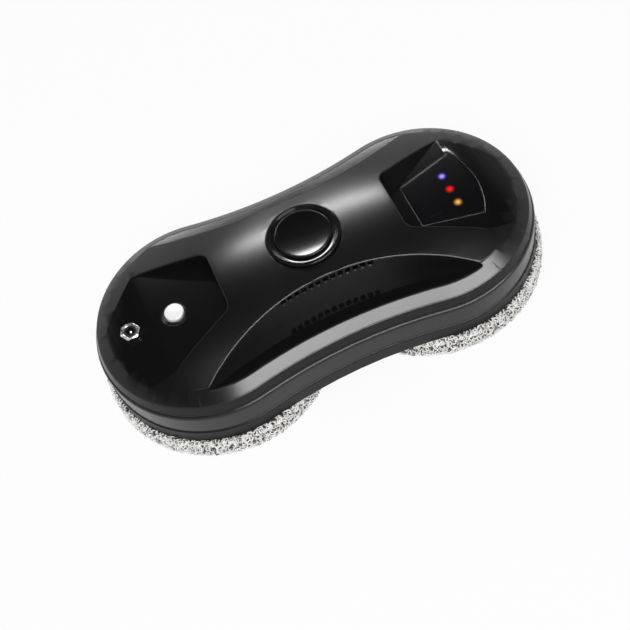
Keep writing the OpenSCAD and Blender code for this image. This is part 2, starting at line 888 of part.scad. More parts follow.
module hub_bush(side) {
    color("#c9a24a")
        on_side(side)
            translate([lobe_x, 0, 0])
                rotate_extrude()
                    polygon([[hub_r + run_gap, bush_flange_z], [bush_flange_r, bush_flange_z],
                             [bush_flange_r, floor_z], [hub_r + run_gap + bush_t, floor_z],
                             [hub_r + run_gap + bush_t, bush_top], [hub_r + run_gap, bush_top]]);
}

module hub_clip(side) {
    color(steel)
        on_side(side)
            translate([lobe_x, 0, gear_top])
                difference() {
                    cylinder(r = hub_r + clip_t + clip_t, h = clip_t);
                    translate([0, 0, -over]) cylinder(r = hub_r, h = clip_t + 2 * over);
                }
}

// Wheel under the body: disc, shoulder and hollow hub
module pad_wheel(side) {
    color(dark)
        on_side(side)
            translate([lobe_x, 0, 0])
                rotate_extrude()
                    polygon([[hub_bore_r, wheel_z], [wheel_r, wheel_z], [wheel_r, wheel_top],
                             [bush_flange_r, wheel_top], [bush_flange_r, bush_flange_z - rest_gap],
                             [hub_r, bush_flange_z - rest_gap], [hub_r, hub_top], [hub_bore_r, hub_top]]);
}

hook_in = 6;
module hook_ring(side) {
    color("#55565c")
        on_side(side)
            translate([lobe_x, 0, hook_z])
                difference() {
                    cylinder(r = wheel_r - hook_in, h = hook_t);
                    translate([0, 0, -over]) cylinder(r = pad_hollow_r + hook_in, h = hook_t + 2 * over);
                }
}

// Pad: flat ring under the wheel with a turned-up edge round it
function round_at(c, r, from) =
    [for (i = [0 : corner_steps]) c + r * dir(from + 90 * i / corner_steps)];
pad_lip = 2;
module cleaning_pad(side) {
    color("#dcdad4")
        on_side(side)
            translate([lobe_x, 0, 0])
                rotate_extrude()
                    polygon(concat([[pad_hollow_r, pad_t]],
                                   round_at([pad_hollow_r + pad_lip, pad_lip], pad_lip, 180),
                                   round_at([pad_r - pad_round, pad_round], pad_round, 270),
                                   round_at([pad_r - pad_lip, pad_h - pad_lip], pad_lip, 0),
                                   round_at([wheel_r + pad_lip, pad_h - pad_lip], pad_lip, 90),
                                   [[wheel_r, pad_t]]));
}

// Air duct from both hubs to the fan
module suction_duct() {
    half_l = lobe_x + duct_half;
    inner = 2 * (duct_half - duct_wall);
    color("#3a3b3f")
        difference() {
            translate([-half_l, -duct_half, plate_top]) cube([2 * half_l, 2 * duct_half, duct_h]);
            translate([-half_l + duct_wall, -inner / 2, plate_top + duct_wall])
                cube([2 * (half_l - duct_wall), inner, duct_h - 2 * duct_wall]);
            for (s = [-1, 1])
                translate([s * lobe_x, 0, plate_top - over])
                    cylinder(r = hub_bore_r, h = duct_wall + 2 * over);
            translate([0, 0, duct_top - duct_wall - over])
                cylinder(r = duct_half - duct_wall - over, h = duct_wall + 2 * over);
        }
}

fan_slot = 9;
module fan_housing() {
    inner_r = fan_r - duct_wall;
    color(dark)
        translate([0, 0, duct_top])
            difference() {
                cylinder(r = fan_r, h = fan_h);
                translate([0, 0, duct_wall]) cylinder(r = inner_r, h = fan_h - 2 * duct_wall);
                translate([0, 0, -over]) cylinder(r = duct_half - duct_wall - over, h = duct_wall + 2 * over);
                translate([0, 0, fan_h - duct_wall - over])
                    cylinder(r = 2 * shaft_r, h = duct_wall + 2 * over, $fn = 48);
                for (s = [-1, 1])
                    translate([-fan_slot, s * fan_r - fan_slot / 2, 2 * duct_wall])
                        cube([2 * fan_slot, fan_slot, fan_h - 4 * duct_wall]);
            }
}

fan_gap = 1.4;
module fan_impeller() {
    disc_r = fan_r - duct_wall - fan_gap;
    hub = 4;
    blade_t = 1.2;
    blade_lean = 30;
    low = duct_top + duct_wall + fan_gap;
    high = fan_top - duct_wall - fan_gap;
    color("#6a6c72") {
        translate([0, 0, high - duct_wall]) cylinder(r = disc_r, h = duct_wall);
        translate([0, 0, low]) cylinder(r = hub, h = high - low);
        for (i = [0 : blade_count - 1])
            rotate([0, 0, i * 360 / blade_count])
                translate([hub * cos(blade_lean), 0, low])
                    rotate([0, 0, blade_lean])
                        cube([disc_r * cos(blade_lean) - hub - over, blade_t, high - low]);
        translate([0, 0, high]) cylinder(r = shaft_r, h = fan_top + shaft_grip - high, $fn = 48);
    }
}

module fan_motor() {
    color(steel)
        translate([0, 0, fan_top])
            difference() {
                cylinder(r = fan_motor_r, h = fan_motor_h);
                translate([0, 0, -over])
                    cylinder(r = shaft_r + run_gap, h = shaft_grip + rest_gap + over, $fn = 48);
            }
}

module battery_pack() {
    pitch = cell_d + fit_gap;
    length = cell_l + 2 * tray_wall;
    width = cell_d + pitch + 2 * tray_wall;
    color("#2f5fa8")
        translate([boss_r + collar + rest_gap - screw_x, duct_half + over, plate_top]) {
            cube([length, width, cell_d / 2]);
            for (i = [0, 1])
                translate([tray_wall, tray_wall + cell_d / 2 + pitch * i, tray_wall + cell_d / 2])
                    rotate([0, 90, 0]) cylinder(r = cell_d / 2, h = cell_l);
        }
}

module main_board() {
    stand = 3;
    chip_half = 5;
    chip_h = 1.5;
    cap_r = 3.5;
    cap_h = 9;
    color("#1f5c3a")
        translate([tray_x0, -duct_half - over - board_w, plate_top]) {
            translate([0, 0, stand]) cube([board_l, board_w, board_t]);
            for (x = [post_in, board_l - post_in])
                for (y = [post_in, board_w - post_in])
                    translate([x, y, 0]) cylinder(r = screw_r + over, h = stand, $fn = 24);
            translate([board_l / 2 - chip_half, board_w / 2 - chip_half, stand + board_t])
                cube([2 * chip_half, 2 * chip_half, chip_h]);
            for (x = [post_in, board_l - post_in])
                translate([x + cap_r / 2, board_w / 2, stand + board_t])
                    cylinder(r = cap_r, h = cap_h, $fn = 32);
        }
}

module case_screws() {
    color(steel)
        for (p = SCREWS)
            translate([p[0], p[1], floor_z]) {
                cylinder(r = screw_head_r, h = screw_head_h, $fn = 32);
                cylinder(r = screw_r, h = plate_top + screw_grip - over - floor_z, $fn = 24);
            }
}

top_cover();
side_shell();
base_shell();
cover_gasket();
start_ring();
start_button();
start_spring();
start_switch();
power_well();
power_button();
power_spring();
power_switch();
inlet_nut();
inlet_socket();
inlet_pin();
light_window();
light_board();
status_lights();
suction_duct();
fan_housing();
fan_impeller();
fan_motor();
battery_pack();
main_board();
case_screws();
gear_plate(LEFT);  // gear_plate_left
gear_plate(RIGHT);  // gear_plate_right
drive_motor(LEFT);  // drive_motor_left
drive_motor(RIGHT);  // drive_motor_right
motor_pinion(LEFT);  // motor_pinion_left
motor_pinion(RIGHT);  // motor_pinion_right
idler_gear(LEFT);  // idler_gear_left
idler_gear(RIGHT);  // idler_gear_right
idler_axle(LEFT);  // idler_axle_left
idler_axle(RIGHT);  // idler_axle_right
output_gear(LEFT);  // output_gear_left
output_gear(RIGHT);  // output_gear_right
hub_bush(LEFT);  // hub_bush_left
hub_bush(RIGHT);  // hub_bush_right
hub_clip(LEFT);  // hub_clip_left
hub_clip(RIGHT);  // hub_clip_right
pad_wheel(LEFT);  // pad_wheel_left
pad_wheel(RIGHT);  // pad_wheel_right
hook_ring(LEFT);  // hook_ring_left
hook_ring(RIGHT);  // hook_ring_right
cleaning_pad(LEFT);  // cleaning_pad_left
cleaning_pad(RIGHT);  // cleaning_pad_right
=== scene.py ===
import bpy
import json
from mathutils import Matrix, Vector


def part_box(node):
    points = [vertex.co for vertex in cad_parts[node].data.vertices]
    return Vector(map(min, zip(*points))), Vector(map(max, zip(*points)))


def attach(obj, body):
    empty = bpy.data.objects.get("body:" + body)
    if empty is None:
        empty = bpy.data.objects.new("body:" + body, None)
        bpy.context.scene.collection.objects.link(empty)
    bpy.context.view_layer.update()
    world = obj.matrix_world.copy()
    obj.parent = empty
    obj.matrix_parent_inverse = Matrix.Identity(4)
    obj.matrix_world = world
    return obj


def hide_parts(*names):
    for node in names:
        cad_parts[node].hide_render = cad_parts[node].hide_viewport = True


bl_info = {
    "name": "Window cleaning robot",
    "version": (1, 0, 0),
    "blender": (4, 5, 0),
    "location": "View3D > Sidebar > Robot",
    "description": "Builds the looks of a window cleaning robot around its working parts",
    "category": "Object",
}

import json
import math
import random

import bmesh
import bpy
import numpy as np
from bpy.props import FloatProperty, FloatVectorProperty, IntProperty, PointerProperty
from bpy.types import Operator, Panel, PropertyGroup
from mathutils import Matrix, Vector

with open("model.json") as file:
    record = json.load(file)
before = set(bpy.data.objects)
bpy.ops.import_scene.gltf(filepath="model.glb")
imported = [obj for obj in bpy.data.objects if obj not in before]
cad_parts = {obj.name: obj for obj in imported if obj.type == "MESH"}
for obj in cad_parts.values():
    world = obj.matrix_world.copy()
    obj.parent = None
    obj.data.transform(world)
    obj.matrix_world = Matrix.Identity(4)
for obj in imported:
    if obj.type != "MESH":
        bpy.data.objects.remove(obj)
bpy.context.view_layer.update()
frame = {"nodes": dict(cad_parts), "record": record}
NODES = frame["nodes"]
MM = 0.001
UP = (0, 0, 1)
RIGHT, LEFT = 1, -1
BACK, FRONT = 1, -1


def length(name, millimetres, text):
    """A length that a user may change, given in millimetres."""
    return FloatProperty(name=name, description=text, default=millimetres * MM, unit="LENGTH", precision=5)


def angle(name, degrees, text):
    """An angle that a user may change, given in degrees."""
    return FloatProperty(name=name, description=text, default=math.radians(degrees), subtype="ANGLE")


def power(name, watts, text):
    """A lamp's power that a user may change, given in watts."""
    return FloatProperty(name=name, description=text, default=watts, unit="POWER")


def shade(name, colour, text):
    """A colour that a user may change."""
    return FloatVectorProperty(name=name, description=text, default=colour, subtype="COLOR", min=0, max=1)


class BodySizes(PropertyGroup):
    """Sizes of the figure-8 body."""
    lobe_x: length("Lobe distance", 78, "Distance from the middle to each lobe's centre")
    lobe_r: length("Lobe radius", 71, "Radius of a lobe at the rim edge")
    waist_half: length("Waist half width", 63.2, "Half width of the body at its waist")
    cover_wall: length("Cover wall", 2.4, "Wall of the top cover")
    cover_z: length("Cover foot", 50, "Height of the cover's lower edge")
    cover_flare: length("Cover flare", 2.2, "How far the cover's lower edge stands outside the rim")
    rim_z: length("Rim height", 57, "Height of the rim edge under the chamfer band")
    band_in: length("Band width", 7.5, "How far in the chamfer band reaches")
    deck_rim_z: length("Band top", 62.6, "Height of the chamfer band's upper edge")
    crown_z: length("Crown height", 88, "Height of the crown in the middle")
    ridge_r: length("Ridge radius", 410, "Radius of the crown along the body")
    cross_r: length("Cross radius", 160, "Radius of the crown across the body")
    grip_y: length("Grip edge", 33.3, "Distance across to the middle of a grip's edge")
    grip_r: length("Grip radius", 175.7, "Radius of a grip's wall")
    deck_x: length("Deck edge", 61.5, "Distance along to an end recess")
    deck_half: length("Deck half width", 23.1, "Half width of an end recess at its inner edge")
    deck_flare: angle("Deck flare", 20.3, "Turn of a recess's side walls")
    deck_corner: length("Deck corner", 8, "Radius of an end recess's inner corners")
    deck_z: length("Deck height", 67, "Height of the end decks")
    deck_bend_x: length("Deck bend", 108, "Distance along to where a deck starts to drop")
    band_over: length("Band overlap", 1.5, "How far the chamfer's slope runs on under the crown")
    edge_round: length("Edge rounding", 0.8, "Rounding of the cover's edges")
    floor_area: FloatProperty(name="Floor area", description="Least area of the faces of a recess's floor",
                              default=20 * MM ** 2, unit="AREA")
    run_out: length("Run-out", 2.5, "Depth of a recess under which its edges stay unrounded")


class VentSizes(PropertyGroup):
    """Sizes of the vent notches in the grip walls."""
    count: IntProperty(name="Notches", description="Notches in each grip wall", default=13, min=5, max=15)
    pitch: length("Pitch", 5, "Distance between notches")
    width: length("Width", 2.6, "Width of a notch")
    height: length("Height", 5, "Height of a notch")
    top_z: length("Top", 82, "Height of the notches' upper ends")
    mouth: length("Mouth bevel", 0.35, "Bevel round a notch's mouth")


class ControlSizes(PropertyGroup):
    """Sizes of the buttons, the light window and the power inlet."""
    start_dish: length("Start dish", 0.9, "Depth of the dish in the start button")
    start_proud: length("Start edge", 0.8, "How far the start button's edge stands over its ring")
    ring_lip: length("Ring lip", 2.2, "Width of the flat lip round the start button's groove")
    power_bevel: length("Power bevel", 0.8, "Rounding of the power button")
    window_x: length("Window edge", 74, "Distance along to the light window")
    window_half_in: length("Window inner half", 17, "Half width of the light window at its inner edge")
    window_far_x: length("Window corners", 112, "Distance along to the light window's outer corners")
    window_half_out: length("Window outer half", 27, "Half width of the light window at its outer corners")
    window_bulge: length("Window bulge", 7, "Bulge of the light window's outer edge")
    window_t: length("Window thickness", 1.4, "Thickness of the light window")
    light_x: length("Light distance", 101, "Distance along to the status lights")
    light_pitch: length("Light pitch", 12, "Distance between the status lights")
    light_r: length("Light radius", 3.3, "Radius of a status light as it shines through the window")
    field_x: length("Field edge", 77, "Distance along to the touch field beside the lights")
    field_l: length("Field length", 12, "Length of the touch field")
    field_w: length("Field width", 19, "Width of the touch field")
    field_y: length("Field middle", -4.5, "Place of the touch field's middle across the body")


class PileSizes(PropertyGroup):
    """Sizes of the looped pile on the pads."""
    loop_r: length("Loop radius", 1.35, "Radius of a loop of the pile")
    yarn_r: length("Yarn radius", 0.5, "Radius of the pile's yarn")
    pitch: length("Loop pitch", 2.5, "Distance between loops")
    seed: IntProperty(name="Seed", description="Start value of the pile's random numbers", default=7)


class FinishColours(PropertyGroup):
    """Colours of the visible finishes."""
    cover: shade("Cover", (0.005, 0.005, 0.0055), "Glossy black of the cover")
    base: shade("Base", (0.008, 0.008, 0.009), "Black of the lower shell")
    button: shade("Power button", (0.86, 0.86, 0.85), "White of the power button")
    window: shade("Light window", (0.004, 0.004, 0.005), "Black of the light window")
    blue: shade("Blue light", (0.06, 0.01, 0.75), "Light at the back")
    blue_heart: shade("Blue heart", (0.55, 0.38, 1.0), "Middle of the light at the back")
    red: shade("Red light", (0.80, 0.008, 0.01), "Light in the middle")
    red_heart: shade("Red heart", (1.0, 0.014, 0.02), "Middle of the light in the middle")
    amber: shade("Amber light", (0.55, 0.2, 0.02), "Light at the front")
    amber_heart: shade("Amber heart", (1.0, 0.56, 0.12), "Middle of the light at the front")
    pile: shade("Pile", (0.93, 0.92, 0.90), "Off-white of the microfibre")


def body_sizes():
    return bpy.context.scene.robot_body


def control_sizes():
    return bpy.context.scene.robot_controls


def colours():
    return bpy.context.scene.robot_colours


# Modelling helpers

def clear_selection():
    """Leaves edit mode with nothing selected."""
    if bpy.context.object and bpy.context.object.mode != "OBJECT":
        bpy.ops.object.mode_set(mode="OBJECT")
    bpy.ops.object.select_all(action="DESELECT")


def activate(*objs):
    """Selects the objects alone, with the first of them active."""
    clear_selection()
    for obj in objs:
        obj.select_set(True)
    bpy.context.view_layer.objects.active = objs[0]


def edit(obj):
    """Opens obj alone in edit mode with all of it selected."""
    activate(obj)
    bpy.ops.object.mode_set(mode="EDIT")
    bpy.ops.mesh.select_mode(type="VERT")
    bpy.ops.mesh.select_all(action="SELECT")


def close_edit(obj):
    bpy.ops.object.mode_set(mode="OBJECT")
    obj.select_set(False)
    return obj


def pick(obj, test):
    """Selects, in edit mode, the vertices whose place passes the test."""
    mesh = bmesh.from_edit_mesh(obj.data)
    bpy.ops.mesh.select_all(action="DESELECT")
    for vert in mesh.verts:
        vert.select_set(test(vert.co))
    mesh.select_flush_mode()
    bmesh.update_edit_mesh(obj.data)


def place_primitive(obj, name):
    """Gives a new primitive its name and moves its place into its mesh."""
    obj.name = name
    obj.data.name = name
    bpy.ops.object.transform_apply(location=True, rotation=True, scale=True)
    return obj


def point(name, place):
    """A mesh of one vertex, open in edit mode with that vertex selected."""
    clear_selection()
    bpy.ops.mesh.primitive_plane_add(size=MM, location=place)
    obj = place_primitive(bpy.context.object, name)
    edit(obj)
    bpy.ops.mesh.merge(type="CENTER")
    return obj


def turn_by(steps, angle, centre, axis=UP):
    """Spins what is selected by the right-hand rule; the operator's own angle runs the other way."""
    bpy.ops.mesh.spin(steps=steps, angle=-angle, center=centre, axis=axis)


def draw_to(step):
    """Extrudes what is selected by a step."""
    bpy.ops.mesh.extrude_region_move(TRANSFORM_OT_translate={"value": step})


def merge_all(gap=0.01 * MM):
    """Selects all of the open mesh and merges its doubles."""
    bpy.ops.mesh.select_all(action="SELECT")
    bpy.ops.mesh.remove_doubles(threshold=gap)


def fill_outline():
    """Closes the outline drawn in edit mode and fills it with a face."""
    merge_all()
    bpy.ops.mesh.edge_face_add()


def close_solid(obj):
    """Merges doubles, fills what is open and turns the faces outwards."""
    edit(obj)
    merge_all()
    bpy.ops.mesh.select_all(action="DESELECT")
    bpy.ops.mesh.select_non_manifold()
    bpy.ops.mesh.edge_face_add()
    bpy.ops.mesh.select_all(action="SELECT")
    bpy.ops.mesh.normals_make_consistent(inside=False)
    return close_edit(obj)


def modify(obj, kind, **settings):
    """Gives obj a modifier with its settings and applies it."""
    modifier = obj.modifiers.new(kind.title(), kind)
    for name, value in settings.items():
        setattr(modifier, name, value)
    activate(obj)
    bpy.ops.object.modifier_apply(modifier=modifier.name)
    obj.select_set(False)
    return obj


def combine(obj, tool, operation):
    """Cuts, joins or intersects obj with a tool, which is used up."""
    modify(obj, "BOOLEAN", operation=operation, object=tool, solver="EXACT")
    bpy.data.objects.remove(tool)
    return obj


def round_edges(obj, width, angle=28):
    """Rounds the edges sharper than an angle and shades the rest smooth."""
    modify(obj, "BEVEL", width=width, segments=3, limit_method="ANGLE", angle_limit=math.radians(angle),
           use_clamp_overlap=False, miter_outer="MITER_ARC")
    return smooth(obj)


def smooth(obj, angle=40):
    """Smooth shading that the large faces lead."""
    activate(obj)
    bpy.ops.object.shade_smooth_by_angle(angle=math.radians(angle))
    return modify(obj, "WEIGHTED_NORMAL", keep_sharp=True)


def lathe(name, profile, centre=(0, 0), steps=96):
    """Turns a closed profile of (radius, height) points about an upright axis."""
    gap = 0.001 * MM
    x, y = centre
    obj = point(name, (x + profile[0][0], y, profile[0][1]))
    for a, b in zip(profile, profile[1:] + profile[:1]):
        draw_to((b[0] - a[0], 0, b[1] - a[1]))
    merge_all(gap)
    turn_by(steps, 2 * math.pi, (x, y, 0))
    merge_all(gap)
    bpy.ops.mesh.normals_make_consistent(inside=False)
    return close_edit(obj)


def cylinder(name, place, radius, height, vertices=96):
    """An upright cylinder that stands on a place."""
    clear_selection()
    x, y, z = place
    bpy.ops.mesh.primitive_cylinder_add(
        vertices=vertices, radius=radius, depth=height, location=(x, y, z + height / 2))
    return place_primitive(bpy.context.object, name)


def finish_piece(obj, material, body, slot, *replaced):
    """Gives a piece its material and body and hides the nodes that it stands for; the slot is not used."""
    obj.data.materials.clear()
    obj.data.materials.append(material)
    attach(obj, body)
    if replaced:
        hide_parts(*replaced)
    return obj


# The figure-8 body

LOBE_STEPS = 116
WAIST_STEPS = 20


def waist_arc():
    """Centre distance and half turn of the arcs that draw the waist in."""
    s = body_sizes()
    radius = (s.lobe_x ** 2 + s.waist_half ** 2 - s.lobe_r ** 2) / (2 * (s.lobe_r - s.waist_half))
    centre_y = s.waist_half + radius
    return centre_y, math.atan(s.lobe_x / centre_y)


def outline_face(name, out, z):
    """The figure-8 face at a distance outside the rim, open in edit mode and selected."""
    s = body_sizes()
    centre_y, turn = waist_arc()
    sweep = math.pi / 2 + turn
    obj = point(name, (s.lobe_x + s.lobe_r + out, 0, z))
    for x, y, angle, steps in (
        (s.lobe_x, 0, sweep, LOBE_STEPS // 2),
        (0, centre_y, -2 * turn, WAIST_STEPS),
        (-s.lobe_x, 0, 2 * sweep, LOBE_STEPS),
        (0, -centre_y, -2 * turn, WAIST_STEPS),
        (s.lobe_x, 0, sweep, LOBE_STEPS // 2),
    ):
        turn_by(steps, angle, (x, y, z))
    fill_outline()
    face = bmesh.from_edit_mesh(obj.data).faces
    face.ensure_lookup_table()
    if face[0].normal.z < 0:
        bpy.ops.mesh.flip_normals()
    return obj


def stack(name, levels):
    """A figure-8 solid from levels of (distance outside the rim, height)."""
    (out, z), rest = levels[0], levels[1:]
    obj = outline_face(name, out, z)
    for next_out, next_z in rest:
        step = out - next_out
        if abs(step) < 0.001 * MM:
            draw_to((0, 0, next_z - z))
        else:
            bpy.ops.mesh.inset(thickness=abs(step), depth=next_z - z, use_outset=step < 0)
        out, z = next_out, next_z
    return close_solid(obj)


def crown_tool(t):
    """All that lies above the crowned top, which is lowered by t."""
    s = body_sizes()
    top = s.crown_z - t
    half = math.radians(30)
    sweep = math.radians(23)
    steps = 20
    obj = point("crown_tool", (0, -s.cross_r * math.sin(half), top - s.cross_r + s.cross_r * math.cos(half)))
    turn_by(steps, -2 * half, (0, 0, top - s.cross_r), (1, 0, 0))
    for side in (RIGHT, LEFT):
        pick(obj, lambda place: abs(place.x) < 0.01 * MM)
        turn_by(steps, side * sweep, (0, 0, top - s.ridge_r), (0, 1, 0))
    merge_all()
    draw_to((0, 0, s.crown_z))
    bpy.ops.mesh.select_all(action="SELECT")
    bpy.ops.mesh.normals_make_consistent(inside=False)
    return close_edit(obj)


def deck_tool(side, t):
    """All that an end recess takes away, grown by t."""
    s = body_sizes()
    x0 = s.deck_x - t
    y0 = s.deck_half - t * math.tan(s.deck_flare) + t / math.cos(s.deck_flare)
    x1 = s.lobe_x + 1.5 * s.lobe_r
    y1 = y0 + (x1 - x0) * math.tan(s.deck_flare)
    obj = point("deck_tool", (x0, -y0, s.deck_rim_z - t - 4 * MM))
    draw_to((x1 - x0, y0 - y1, 0))
    draw_to((0, 2 * y1, 0))
    draw_to((x0 - x1, y0 - y1, 0))
    fill_outline()
    pick(obj, lambda place: place.x < x0 + MM)
    bpy.ops.mesh.bevel(offset=s.deck_corner + t, segments=10, affect="VERTICES", offset_type="WIDTH")
    bpy.ops.mesh.select_all(action="SELECT")
    draw_to((0, 0, s.crown_z))
    close_solid(obj)
    combine(obj, deck_body(t), "DIFFERENCE")
    if side == LEFT:
        edit(obj)
        bpy.ops.transform.rotate(value=math.pi, orient_axis="Z", center_override=(0, 0, 0))
        close_edit(obj)
    return obj


def deck_body(t):
    """What lies under an end deck, lowered by t."""
    s = body_sizes()
    reach = s.lobe_x + s.lobe_r - s.band_in - s.deck_bend_x
    bend_r = reach ** 2 / (2 * (s.deck_z - s.deck_rim_z))
    past_rim = 1.3
    y = -2 * s.lobe_r
    obj = point("deck_body", (0, y, s.deck_z - t))
    draw_to((s.deck_bend_x, 0, 0))
    turn_by(16, past_rim * math.asin(reach / bend_r), (s.deck_bend_x, y, s.deck_z - t - bend_r), (0, 1, 0))
    end = max(bmesh.from_edit_mesh(obj.data).verts, key=lambda v: v.co.x).co.copy()
    draw_to((0, 0, s.deck_z / 2 - end.z))
    draw_to((-end.x, 0, 0))
    fill_outline()
    draw_to((0, -2 * y, 0))
    return close_solid(obj)


def cover_form(name, t):
    """The cover as a solid, with every face moved in by t."""
    s = body_sizes()
    sink = 0.05 * MM
    foot = s.cover_z - (2 * MM if t else 0)
    slope_in = s.band_in + s.band_over
    slope_z = s.rim_z + (s.deck_rim_z - s.rim_z) * slope_in / s.band_in
    obj = stack(name, [(s.cover_flare - t, foot), (s.cover_flare - t, s.cover_z + 0.2 * MM),
                       (-t, s.rim_z), (-slope_in - t, slope_z - t), (-slope_in - t, s.crown_z + 2 * MM)])
    combine(obj, crown_tool(t), "DIFFERENCE")
    for side in (FRONT, BACK):
        place = (0, side * (s.grip_y + s.grip_r), s.deck_rim_z - t - sink)
        combine(obj, cylinder("grip_tool", place, s.grip_r + t, s.crown_z, 480), "DIFFERENCE")
    for side in (LEFT, RIGHT):
        combine(obj, deck_tool(side, t), "DIFFERENCE")
    edit(obj)
    merge_all(sink)
    return close_edit(obj)


def runs_out(place):
    """Whether a place on the cover's edges lies where a recess runs out to nothing."""
    s = body_sizes()
    x, y = abs(place.x), abs(place.y)
    to_grip = abs(math.hypot(x, s.grip_y + s.grip_r - y) - s.grip_r)
    to_deck = abs(s.deck_half + (x - s.deck_x) * math.tan(s.deck_flare) - y)
    shallow_grip = to_grip < s.run_out / 2 and place.z < s.deck_rim_z + s.run_out
    return shallow_grip or (to_deck < s.run_out / 2 and x > s.deck_bend_x - s.run_out)


def soften_cover(cover):
    """Gives the cover's raised edges a bevel weight, save where a recess runs out."""
    sharp = math.radians(25)
    edit(cover)
    mesh = bmesh.from_edit_mesh(cover.data)
    weight = mesh.edges.layers.float.new("bevel_weight_edge")
    for edge in mesh.edges:
        raised = edge.is_convex and edge.calc_face_angle() > sharp
        if raised and not runs_out((edge.verts[0].co + edge.verts[1].co) / 2):
            edge[weight] = 1
    bmesh.update_edit_mesh(cover.data)
    return close_edit(cover)


def window_solid(name, grow, top, bottom):
    """The light window's slab, which follows the deck between two depths."""
    s, c = body_sizes(), control_sizes()
    arc_r = (c.window_half_out ** 2 + c.window_bulge ** 2) / (2 * c.window_bulge)
    turn = math.asin(c.window_half_out / arc_r)
    centre_x = c.window_far_x + c.window_bulge - arc_r
    low = s.deck_rim_z - 2 * MM
    far_x = centre_x + (arc_r + grow) * math.cos(turn)
    far_y = (arc_r + grow) * math.sin(turn)
    near_y = c.window_half_in + grow
    obj = point(name, (far_x, -far_y, low))
    turn_by(24, 2 * turn, (centre_x, 0, low))
    draw_to((c.window_x - grow - far_x, near_y - far_y, 0))
    draw_to((0, -2 * near_y, 0))
    fill_outline()
    draw_to((0, 0, s.crown_z - s.deck_rim_z))
    close_solid(obj)
    combine(obj, deck_body(top), "INTERSECT")
    return combine(obj, deck_body(bottom), "DIFFERENCE")


def vent_tool(side):
    """The U-shaped notches of one grip wall, with flared mouths, as one tool."""
    s, v = body_sizes(), bpy.context.scene.robot_vents
    reach = s.cover_wall + MM
    deep = s.grip_r + reach
    straight = v.height - v.width / 2
    to_wall = (Matrix.Rotation(0 if side == FRONT else math.pi, 4, "Z")
               @ Matrix.Translation((0, -s.grip_y - s.grip_r, 0)))
    notches = []
    for i in range(v.count):
        obj = point("vent_tool", (v.width / 2, deep, v.top_z))
        draw_to((0, 0, -straight))
        turn_by(10, math.pi, (0, deep, v.top_z - straight), (0, 1, 0))
        draw_to((0, 0, straight))
        fill_outline()
        draw_to((0, v.mouth - reach, 0))
        mesh = bmesh.from_edit_mesh(obj.data)
        mouth = next(f for f in mesh.faces if f.select)
        mouth.normal_update()
        if mouth.normal.y > 0:
            bpy.ops.mesh.flip_normals()
        bpy.ops.mesh.inset(thickness=2 * v.mouth, depth=2 * v.mouth, use_outset=True)
        close_solid(obj)
        turn = (i - (v.count - 1) / 2) * v.pitch / s.grip_r
        obj.matrix_world = to_wall @ Matrix.Rotation(turn, 4, "Z")
        activate(obj)
        bpy.ops.object.transform_apply()
        notches.append(obj)
    activate(*notches)
    bpy.ops.object.join()
    return notches[0]


def cut_controls(cover):
    """Cuts the cover's openings for the ring, the well, the inlet and the window."""
    s, c = body_sizes(), control_sizes()
    round_gap, window_gap = 0.15 * MM, 0.25 * MM
    under_nut = 0.6
    for node, low in (("start_ring", s.deck_z), ("power_well", s.cover_z), ("inlet_socket", s.cover_z)):
        a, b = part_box(node)
        middle = (a + b) / 2
        radius = (b.x - a.x) / 2 + round_gap
        if node == "inlet_socket":
            radius = under_nut * (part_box("inlet_nut")[1].x - middle.x)
        combine(cover, cylinder("hole_tool", (middle.x, middle.y, low), radius, s.crown_z), "DIFFERENCE")
    return combine(cover, window_solid("window_tool", window_gap, -MM, c.window_t), "DIFFERENCE")


def polish_recesses(cover):
    """Gives the floors of the grips and the decks the cover's second, mirror-like finish."""
    s = body_sizes()
    edge = 0.4 * MM
    grip_centre = s.grip_y + s.grip_r

    def in_deck(place):
        x, y = abs(place.x), abs(place.y)
        side = s.deck_half + (x - s.deck_x) * math.tan(s.deck_flare)
        in_lobe = math.hypot(max(0, x - s.lobe_x), y) < s.lobe_r - s.band_in
        return x > s.deck_x and y < side and place.z < s.deck_z + edge and in_lobe

    def in_grip(place):
        away = math.hypot(place.x, grip_centre - abs(place.y))
        return away < s.grip_r and place.z < s.deck_rim_z + edge

    edit(cover)
    mesh = bmesh.from_edit_mesh(cover.data)
    for face in mesh.faces:
        place = face.calc_center_median()
        floor = face.normal.z > 0.9 and place.z > s.rim_z and face.calc_area() > s.floor_area
        if floor and (in_deck(place) or in_grip(place)):
            face.material_index = 1
    bmesh.update_edit_mesh(cover.data)
    return close_edit(cover)


# Pieces

class ROBOT_OT_top_cover(Operator):
    """Build the glossy top cover with its grips, decks and vents"""
    bl_idname = "robot.top_cover"
    bl_label = "Top cover"

    def execute(self, context):
        s, black = body_sizes(), colours().cover
        cover = cover_form("top_cover_shell", 0)
        cut_controls(cover)
        soften_cover(cover)
        combine(cover, cover_form("cavity_tool", s.cover_wall), "DIFFERENCE")
        modify(cover, "BEVEL", width=s.edge_round, segments=4, limit_method="WEIGHT", use_clamp_overlap=False,
               miter_outer="MITER_ARC")
        for side in (FRONT, BACK):
            combine(cover, vent_tool(side), "DIFFERENCE")
        smooth(cover, 24)
        finish_piece(cover, gloss_black("Cover gloss", black), "casing", "cover_black", "top_cover")
        cover.data.materials.append(polished_black("Recess polish", black))
        polish_recesses(cover)
        return {"FINISHED"}


def dressed_copy(node, name, width, material, slot):
    """A merged copy of a node's mesh, with rounded edges and smooth shading."""
    obj = bpy.data.objects.new(name, NODES[node].data.copy())
    obj.data.name = name
    bpy.context.scene.collection.objects.link(obj)
    edit(obj)
    merge_all(0.005 * MM)
    bpy.ops.mesh.customdata_custom_splitnormals_clear()
    bpy.ops.mesh.dissolve_limited(angle_limit=math.radians(0.5))
    close_edit(obj)
    round_edges(obj, width)
    return finish_piece(obj, material, "casing", slot, node)


